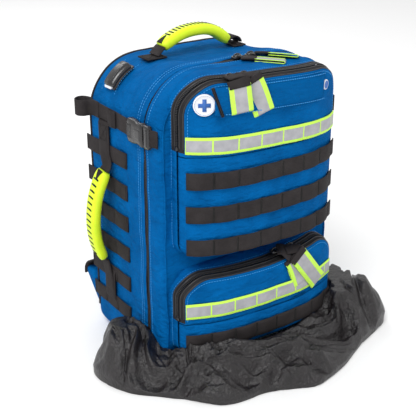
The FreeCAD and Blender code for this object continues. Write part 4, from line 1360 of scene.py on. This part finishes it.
def make_top_handle():
    """A rubber grip in an arch. The left leg runs down to the pack in a slack curve, and the
    right one hangs as a lobe beside its patch."""
    low, high = span("top_grip")
    y = (low[1] + high[1]) / 2
    middle = (low[0] + high[0]) / 2
    count = 60
    x = np.linspace(-62, 62, count)
    height = high[2] - 8.5 - np.where(x > 0, 23.5, 19) * np.abs(x / 62) ** 2.3
    path = np.stack([middle + np.where(x > 0, x * 0.9, x), np.full(count, y), height], 1)
    make_grip("top_grip_arch", "top_handle", "top_grip", path, (0, 0, 1), 28, 17, 15)
    ground = TOP - 5
    left, right = path[0], path[-1]
    slack = [left - (0, 0, 1), left + (-5, 0, -5)]
    slack += [(-74, y, ground + 6), (-79, y, ground + 1.5), (-72, y, ground)]
    lobe = [right + (a, 0, b) for a, b in ((-2, -2), (4, 3), (12, 4), (19, 0), (21, -6), (16, -10))]
    pieces = []
    for side, start, route, anchor, patch_low, patch_high in (
        (-1, left, slack, -76, -98, -64),
        (1, right, lobe, 70, 60, 82),
    ):
        web = ribbon(f"top_leg{side}", smooth_path(route), (0, 0, 1), 27, 3.4, "webbing")
        blend(web, (anchor, y, ground + 3), start, ["top_handle_webbing"])
        flat = np.array([[x, y, ground + 0.8] for x in np.linspace(patch_low, patch_high, 12)])
        pieces.append(ribbon(f"top_patch{side}", flat, (0, 0, 1), 30, 2.2, "webbing"))
        ends = (patch_low + 3, patch_high - 3)
        corners = [(ends[i], y + reach, ground + 3.1) for i, reach in ((0, -11), (1, -11), (1, 11), (0, 11))]
        pieces.append(cross_stitch(f"top_cross{side}", corners, (0, 0, 1)))
    ride(join("top_anchors", pieces), "main_body", ["top_handle_anchors"])


def make_side_handles():
    """On each side, a rubber grip in an arch, its two legs and the patches that hold them."""
    anchors = []
    for side, word in ((-1, "left"), (1, "right")):
        low, high = span(f"side_grip_{word}")
        y = (low[1] + high[1]) / 2
        z = (low[2] + high[2]) / 2
        t = np.linspace(-1, 1, 60)
        reach = HALF + 29 - 17 * np.abs(t) ** 2.2
        path = np.stack([side * reach, y - 10 * t, z + (high[2] - low[2] - 8) / 2 * t], 1)
        body = f"side_handle_{word}"
        make_grip(f"side_grip_arch_{word}", body, f"side_grip_{word}", path, (side, 0, 0), 28, 16, 13)
        for end, sign, foot in ((-1, 1, 318), (0, -1, 108)):
            tip = path[end]
            route = [tip - (side, 0, 0), tip + (-side * 8, 0, sign * 8)]
            route += [(side * (HALF + 4), y, foot), (side * (HALF + 2.6), y, foot + sign * 22)]
            outward = (side, 0, 0.2 * sign)
            web = ribbon(f"side_leg_{word}{end}", smooth_path(route), outward, 26, 3.0, "webbing")
            start = (side * (HALF + 5), y, foot)
            blend(web, start, tip, [f"side_handle_webbing_{word}"])
        for top_z, foot_z in ((367, 306), (122, 68)):
            places = [(y, top_z, 1.0), (y, top_z - 6, 2.8), (y, foot_z + 6, 2.8), (y, foot_z, 1.0)]
            anchors.append(side_strip(f"anchor_{word}{top_z}", side, places, 31, thickness=2.4))
            corners = [(y - 10, top_z - 6), (y + 10, top_z - 6), (y + 10, top_z - 30), (y - 10, top_z - 30)]
            points = [side_skin(side, *c, 5.8) for c in corners]
            anchors.append(cross_stitch(f"cross_{word}{top_z}", points, (side, 0, 0)))
    ride(join("side_anchors", anchors), "main_body", ["side_handle_anchors"])


def make_cable_port():
    """A bevelled rubber cowl bent over the corner, with its mouth at the lower end."""
    low, high = span("cable_port")
    y = (low[1] + high[1]) / 2
    centre = np.array([-(HALF - CORNER), y, TOP - CORNER])

    def arc(first, last, radius, count):
        """A path over the corner between two angles, and its outward directions."""
        angles = np.radians(np.linspace(first, last, count))
        outward = np.stack([np.cos(angles), np.zeros(count), np.sin(angles)], 1)
        path = centre + outward * radius
        path[:, 2] -= 3.5 * step_between(-150, -110, path[:, 0])
        return path, outward

    cowl = [(-13, -4), (13, -4), (12.8, 0), (9.5, 4.6), (-9.5, 4.6), (-12.8, 0)]
    scale = np.ones(26)
    scale[[0, 1, -2, -1]] = 0.8, 0.95, 0.95, 0.8
    pieces = []
    for name, first, last, radius, section, key in (
        ("port_skirt", 118, 151, 85.5, rounded_section(32, 3, 1.4), "rubber"),
        ("port_cowl", 120, 149, 89.0, cowl, "plastic"),
        ("port_lid", 125, 144, 93.4, rounded_section(15, 1.6, 0.7), "plastic"),
    ):
        path, outward = arc(last, first, radius, len(scale))
        pieces.append(sweep(name, path, outward, section, key, scale))
    a = math.radians(149.5)
    mouth = centre + np.array([math.cos(a), 0, math.sin(a)]) * 89
    pieces.append(rounded_box("port_mouth", mouth - (2.5, 9, 3), mouth + (2.0, 9, 1.5), 1.2, "white", 4))
    ride(join("cable_port_cowl", pieces), "main_body", ["cable_port"])
    seams = []
    for edge in (y - 19, y + 19):
        path, outward = arc(154, 115, 86.3, 20)
        path[:, 1] = edge
        seams.append(rows_of_bars(f"port_seam{edge:.0f}", path, outward, 4.2, (3.0, 0.8, 0.55), "thread"))
    ride(join("port_seams", seams), "main_body")


make_side_webbing()
make_compression_straps()
make_buckles()
make_top_handle()
make_side_handles()
make_cable_port()


# ---------------------------------------------------------------- zip sliders and pulls

TAB_WIDTH = 32


def slider_piece(name, node, centre, extra=()):
    """A lacquered slider: a waisted body, a raised bridge and a small ring."""
    centre = np.array(centre, float)

    def waist(points):
        points = points.copy()
        points[:, 1] *= 1 - 0.22 * (points[:, 0] / 8) ** 2
        return centre + points

    pieces = [rounded_box(name + "_body", (-8, -6, -2.2), (8, 6, 2.4), 2.0, "metal", 5, waist)]
    t = np.linspace(0, math.pi, 12)
    bridge = np.stack([6 * np.cos(t), 0 * t, 2 + 3.4 * np.sin(t)], 1)
    pieces.append(tube(name + "_bridge", centre + bridge, 1.3, "metal"))
    t = np.linspace(0, 2 * math.pi, 20)
    ring = np.stack([2 * np.sin(t), -6 + 6 * np.cos(t), 4 + 0.3 * np.cos(t)], 1)
    pieces.append(tube(name + "_ring", centre + ring, 1.1, "metal"))
    ride(join(name, [*pieces, *extra]), node, [node])


def tab(name, route, out, neck, width=TAB_WIDTH):
    """A pull: black webbing over the first part of a route, then a folded reflective tab."""
    path = smooth_path(route, 2.0, 2)
    s = lengths(path)
    stub = path[s <= neck + 3]
    rest = path[s >= neck - 2]
    out = unit(np.array(out, float))
    front = rest + out * 1.2
    bend = [rest[-1] + unit(rest[-1] - rest[-2]) * 1.6]
    loop = np.concatenate([front, bend, rest[::-1] - out * 1.2])
    across = unit(np.cross(rest[-1] - rest[0], out))
    along = unit(np.gradient(loop, axis=0))
    facing = np.cross(across, along)
    pieces = [ribbon(name + "_tape", loop, facing, width, 1.1, "tab")]
    lift = np.full(len(stub), -0.4)
    pieces.append(ribbon(name + "_stub", stub, out, width * 1.02, 3.6, "webbing", lift))
    return join(name, pieces)


def make_pulls():
    """The six sliders and their pulls. A pocket's pull is a tab that hangs down its face, joined
    to its slider by a bridge of webbing, and a main pull is a tab that lies on the top."""
    for kind, side, slider, route, depth, neck, lean in (
        ("upper", "left", -69, [(-69, 463), (-68, 455), (-66, 438), (-63, 418)], 4.5, 9, -0.3),
        ("upper", "right", -45, [(-48, 461), (-44, 453), (-36, 436), (-26, 411)], 1.5, 6, -0.3),
        ("lower", "left", 22, [(38, 168), (43, 160), (51, 143), (60, 120)], 1.0, 4, 0.0),
        ("lower", "right", 50, [(45, 173), (52, 165), (72, 140), (97, 110)], 4.5, 8, 0.0),
    ):
        pocket = upper if kind == "upper" else lower
        front = [(x, -float(pocket.face(x)) - depth - 0.4, z) for x, z in route]
        front[0] = (front[0][0], front[0][1] + 3, front[0][2])
        body = f"{kind}_pull_{side}"
        piece = tab(body + "_tab", front, (lean, -1, 0.05), neck)
        ride(piece, body, [body])
        node = f"{kind}_slider_{side}"
        y = span(node)[1][1] - 6
        z = pocket.top + (1 if kind == "lower" else 4)
        halfway = (slider + (front[0][0] - slider) * 0.5, (y + front[0][1]) / 2, z + 4.0)
        over = smooth_path([(slider, y - 4, z + 3), halfway, front[0]])
        bridge = ribbon(body + "_bridge", over, (0, -0.2, 1), TAB_WIDTH * 0.9, 2.4, "webbing")
        slider_piece(f"{kind}_zip_slider_{side}", node, (slider, y, z), [bridge])
    for side, start, roll in (("left", (3, -59.5, 462.5), 0.12), ("right", (35, -50, 464), 0.3)):
        start = np.array(start, float)
        ahead = unit(np.array([0.75, -0.66, -0.04]))
        route = [start + ahead * s + (0, 0, rise) for s, rise in ((0, 0), (10, 1), (34, 1), (62, 0.5))]
        out = unit(np.array([0.0, roll, 1.0]))
        body = f"main_pull_{side}"
        piece = tab(body + "_tab", route, out, 21, 26)
        ride(piece, body, [body])
        node = f"main_slider_{side}"
        low, high = span(node)
        slider_piece(f"main_zip_slider_{side}", node, ((low[0] + high[0]) / 2, -SLIT, TOP + 4.5))


make_pulls()


# ---------------------------------------------------------------- padding, harness, inside


def stuff(piece, cap, voxel=5.0):
    remesh = piece.modifiers.new("cells", "REMESH")
    remesh.mode = "VOXEL"
    remesh.voxel_size = voxel * MM
    apply_modifiers(piece)
    start = np.array([v.co for v in piece.data.vertices])
    cloth = piece.modifiers.new("stuffing", "CLOTH")
    cloth.settings.use_pressure = True
    cloth.settings.uniform_pressure_force = 4
    cloth.settings.quality = 5
    cloth.settings.effector_weights.gravity = 0
    first, last = 1, 20
    cloth.point_cache.frame_start = first
    cloth.point_cache.frame_end = last
    for number in range(first, last + 1):
        bpy.context.scene.frame_set(number)
    bpy.context.view_layer.update()
    depsgraph = bpy.context.evaluated_depsgraph_get()
    shaped = piece.evaluated_get(depsgraph).data
    end = np.array([v.co for v in shaped.vertices])
    piece.modifiers.clear()
    bpy.context.scene.frame_set(first)
    move = end - start
    reach = np.linalg.norm(move, axis=1, keepdims=True)
    move *= np.minimum(1, cap * MM / np.maximum(reach, 1e-9))
    piece.data.vertices.foreach_set("co", (start + move).ravel())
    piece.data.update()
    smooth = piece.modifiers.new("smooth", "SUBSURF")
    smooth.levels = 1
    apply_modifiers(piece)
    piece.data.polygons.foreach_set("use_smooth", [True] * len(piece.data.polygons))


def quilt(piece, levels, centre, depth):
    """Sinks sewn channels into a pad's face at levels along z."""
    points = np.array([v.co for v in piece.data.vertices]) / MM
    for level in levels:
        share = np.exp(-(((points[:, 2] - level) / 5.0) ** 2))
        points[:, 1] -= share * depth * np.sign(points[:, 1] - centre)
    piece.data.vertices.foreach_set("co", (points * MM).ravel())
    piece.data.update()


def make_back():
    """Mesh pads, lumbar cushion, yoke, and a blue wing with a webbing tab on each side."""
    low, high = span("back_pads")
    for side, word in ((-1, "left"), (1, "right")):
        x = sorted((side * 15, side * 109))
        box = ((x[0], low[1] + 1, low[2] + 4), (x[1], high[1] - 2, high[2] - 4))
        pad = rounded_box(f"back_pad_{word}", *box, 5.5, "mesh", 12)
        stuff(pad, 5)
        quilt(pad, (210, 271, 332), low[1], 2.6)
        ride(pad, "main_body", ["back_pads"])
    low, high = span("lumbar_pad")
    pad = rounded_box("lumbar_cushion", low + (4, 1, 4), high - (4, 3, 4), 8, "black", 12)
    stuff(pad, 6)
    ride(pad, "main_body", ["lumbar_pad"])
    low, high = span("strap_yoke")
    pad = rounded_box("yoke_pad", low + (2, 1, 2), high - (2, 2, 2), 4.5, "black", 12)
    stuff(pad, 3)
    ride(pad, "main_body", ["strap_yoke"])
    low, high = span("strap_base_wings")
    wings, tabs = [], []
    for side in (-1, 1):
        x = sorted((side * (high[0] - 42), side * (high[0] + 7)))

        def taper(points, side=side):
            """A wedge: deepest at its outer upper part, drawn in at its foot."""
            points = points.copy()
            share = np.clip((points[:, 2] - low[2]) / (high[2] - low[2]), 0, 1)
            points[:, 1] = low[1] + (points[:, 1] - low[1]) * (0.1 + 0.9 * share**0.9)
            points[:, 0] -= side * 15 * (1 - share)
            return points

        box = ((x[0], low[1] - 6, low[2] - 12), (x[1], high[1] + 11, high[2] - 9))
        wing = rounded_box(f"base_wing{side}", *box, 9, "blue", 12, taper)
        wings.append(wing)
        fold = [(148, -16, 104), (148, -5, 99), (147, 5, 89), (145, 9.5, 74)]
        fold = [(side * out, high[1] + back, z) for out, back, z in fold]
        tabs.append(ribbon(f"base_tab{side}", smooth_path(fold), (0, 1, 0.6), 30, 3.2, "webbing"))
    ride(join("base_wing_pair", wings), "main_body", ["strap_base_wings"])
    ride(join("base_tabs", tabs), "main_body")


def make_shoulder_straps():
    """On each side, a mesh pad with a webbing runner, a ladder lock and lower webbing."""
    for side, word in ((-1, "left"), (1, "right")):
        body = f"shoulder_strap_{word}"
        node = f"shoulder_pad_{word}"
        low, high = span(node)
        middle = (low[2] + high[2]) / 2
        reach = (high[2] - low[2]) / 2
        x = side * 77.5
        t = np.linspace(-0.96, 0.96, 40)
        path = np.stack([np.full(40, x), 147 + 13 * (1 - t**2), middle + reach * t], 1)
        scale = 1 - 0.22 * np.clip(np.abs(t) - 0.7, 0, 1) / 0.26
        pad = sweep(node + "_core", path, (0, 1, 0), rounded_section(57, 10, 4.6), "mesh", scale)
        stuff(pad, 4)
        ride(pad, body, [node])
        face = path + np.array([0, 6.8, 0])
        runner = ribbon(node + "_runner", face[3:-3], (0, 1, 0), WEBBING, 2.0, "webbing", np.full(34, 1.2))
        ride(runner, body)
        low_w, high_w = span(f"shoulder_webbing_{word}")
        start = np.array([side * 78, 146.5, high_w[2] + 8])
        end = np.array([side * 126, 151, low_w[2] - 1])
        route = smooth_path([start, start + (0, 1, -8), (start + end) / 2 + (0, 3, 0), end + (0, 2, 8), end])
        web = ribbon(f"shoulder_web_{word}", route, (0, 1, 0), WEBBING, 2.0, "webbing")
        hinge = start - (0, 0, 10)
        blend(web, end, hinge, [f"shoulder_webbing_{word}"])
        box = (start - (16, 2.5, 12), start + (16, 6, 12))
        lock = rounded_box(f"ladder_lock_{word}", *box, 2.6, "plastic", 5)
        ride(lock, body)


def make_inside():
    """Two padded shelves, a row of elastic loops, and a mesh pouch in the lid."""
    for node in ("upper_shelf", "lower_shelf"):
        low, high = span(node)
        pad = rounded_box(node + "_pad", low + (2, 2, 0.5), high - (2, 2, 0.5), 2.2, "lining", 14)
        stuff(pad, 2.5, 4.0)
        ride(pad, "main_body", [node])
    low, high = span("instrument_loops")
    z = (low[2] + high[2]) / 2
    pieces = []
    panel = np.array([[x, high[1] - 1, z] for x in np.linspace(low[0], high[0], 60)])
    pieces.append(ribbon("loop_panel", panel, (0, -1, 0), high[2] - low[2], 2.0, "black"))
    path = panel[2:-2].copy()
    s = lengths(path)
    puff = 1.5 + 4.5 * np.abs(np.sin(math.pi * s / 21)) ** 0.8
    pieces.append(ribbon("loop_elastic", path, (0, -1, 0), 34, 1.4, "webbing", puff))
    ride(join("instrument_loop_row", pieces), "main_body", ["instrument_loops"])
    low, high = span("lid_pouch")
    wide = np.linspace(low[0], high[0], 40)
    path = np.array([[x, high[1] - 1.0 + 0.8 * math.cos(x / 24), (low[2] + high[2]) / 2] for x in wide])
    pieces = [ribbon("pouch_mesh", path, (0, 1, 0), high[2] - low[2], 1.6, "mesh")]
    for z in (low[2] + 4, high[2] - 5):
        edge = path.copy()
        edge[:, 2] = z
        pieces.append(ribbon(f"pouch_edge{z:.0f}", edge, (0, 1, 0), 10, 2.6, "webbing", np.full(40, 0.6)))
    ride(join("lid_pouch_panel", pieces), "front_lid", ["lid_pouch"])


def paint(node, material):
    """Gives a CAD node that stays a finish of this scene."""
    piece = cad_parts[node]
    piece.data.materials.clear()
    piece.data.materials.append(MATERIALS[material])


make_back()
make_shoulder_straps()
make_inside()
paint("base_panel", "black")
paint("frame_sheet", "sheet")


# ---------------------------------------------------------------- rain cover


def make_rain_cover():
    """One thin sheet, gathered in a crumpled heap round the foot of the pack. outer is its edge on
    the floor, inner its edge at the pack, lift its height along them and wall its steepness."""
    low, high = span("rain_cover")
    outer = [
        (-160, 30), (-196, 8), (-232, -6), (-246, -24), (-248, -46), (-242, -74), (-222, -112),
        (-190, -142), (-166, -166), (-146, -194), (-128, -211), (-96, -217), (-62, -216), (-30, -228),
        (14, -250), (52, -240), (92, -226), (130, -206), (176, -186), (226, -170), (242, -152),
        (241, -118), (240, -86), (222, -58), (166, -34),
    ]
    inner = [
        (-156, 30), (-157, 10), (-157, -10), (-157, -30), (-157, -48), (-156, -62), (-154, -74),
        (-148, -84), (-140, -92), (-134, -104), (-126, -118), (-108, -126), (-84, -134), (-50, -141),
        (0, -144), (40, -142), (76, -136), (104, -128), (124, -118), (134, -106), (140, -98),
        (148, -90), (154, -80), (156, -60), (157, -34),
    ]
    lift = [8, 34, 56, 70, 72, 66, 58, 52, 50, 52, 54, 52, 50]
    lift += [48, 50, 54, 58, 62, 68, 80, 86, 86, 78, 52, 14]
    wall = [1.7, 2.6, 3.2, 3.6, 3.8, 3.4, 2.6, 2.0, 1.7, 1.7, 1.7, 1.6, 1.6]
    wall += [1.6, 1.6, 1.6, 1.8, 2.1, 2.8, 3.8, 4.0, 3.8, 3.4, 2.6, 1.7]
    outer = smooth_path([(*p, 0) for p in outer], 2.6, 2)
    count = len(outer)
    share = np.linspace(0, 1, count)
    knots = np.linspace(0, 1, len(inner))
    inner = np.stack([np.interp(share, knots, np.array(inner)[:, i]) for i in (0, 1)], 1)
    crest, steep = np.interp(share, knots, lift), np.interp(share, knots, wall)
    rows = 84
    points = np.zeros((rows, count, 3))
    along = lengths(outer)
    for j in range(rows):
        v = j / (rows - 1)
        flat = inner + (outer[:, :2] - inner) * min(v * 1.05, 1.0) ** 0.9
        rise = 0.82 + 0.26 * math.sin(math.pi * min(v * 1.3, 1))
        fall = (1 - (max(v - 0.2, 0) / 0.8) ** steep) ** 0.8
        points[j, :, :2] = flat
        points[j, :, 2] = crest * rise * fall + 1.0
    reach = np.linalg.norm(outer[:, :2] - inner, axis=1)

    def crease(place, size):
        """A sharp fold: 1 on its ridge, falling to -1 between ridges."""
        return 1 - 4 * abs(noise.noise(place / size))

    for j in range(rows):
        v = j / (rows - 1)
        fade = min(math.sin(math.pi * min(max(v, 0.04), 0.985)) * 1.6, 1) ** 0.7
        for i in range(count):
            x, y, z = points[j, i]
            u, w = along[i], v * reach[i]
            place = Vector((u * 0.55 + w * 0.35, w * 1.15 - u * 0.12, 0))
            place += Vector((waver((x, y, 0), 90, 38, 3.0), waver((x, y, 0), 90, 38, 11.0), 0))
            fold = 11 * crease(place, 92) + 7.5 * crease(place + Vector((50, 9, 3)), 41)
            fold += 3.8 * crease(place + Vector((7, 90, 6)), 20) + 1.2 * crease(place + Vector((3, 5, 40)), 9)
            points[j, i, 2] = max(z + fade * (fold - 3), 0.8)
            points[j, i, 0] += fade * 7 * noise.noise(place / 30 + Vector((9, 0, 0)))
            points[j, i, 1] += fade * 7 * noise.noise(place / 30 + Vector((0, 7, 0)))
    points[..., 2] = np.clip(points[..., 2], 0.8, high[2] + 12)
    piece = put_mesh("rain_cover_sheet", points.reshape(-1, 3), grid_faces(rows, count, False), "nylon")
    face_outward(piece, (0, -150, -400))
    thicken(piece, 0.6)
    ride(piece, "main_body", ["rain_cover"])
    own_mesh(piece)


make_rain_cover()
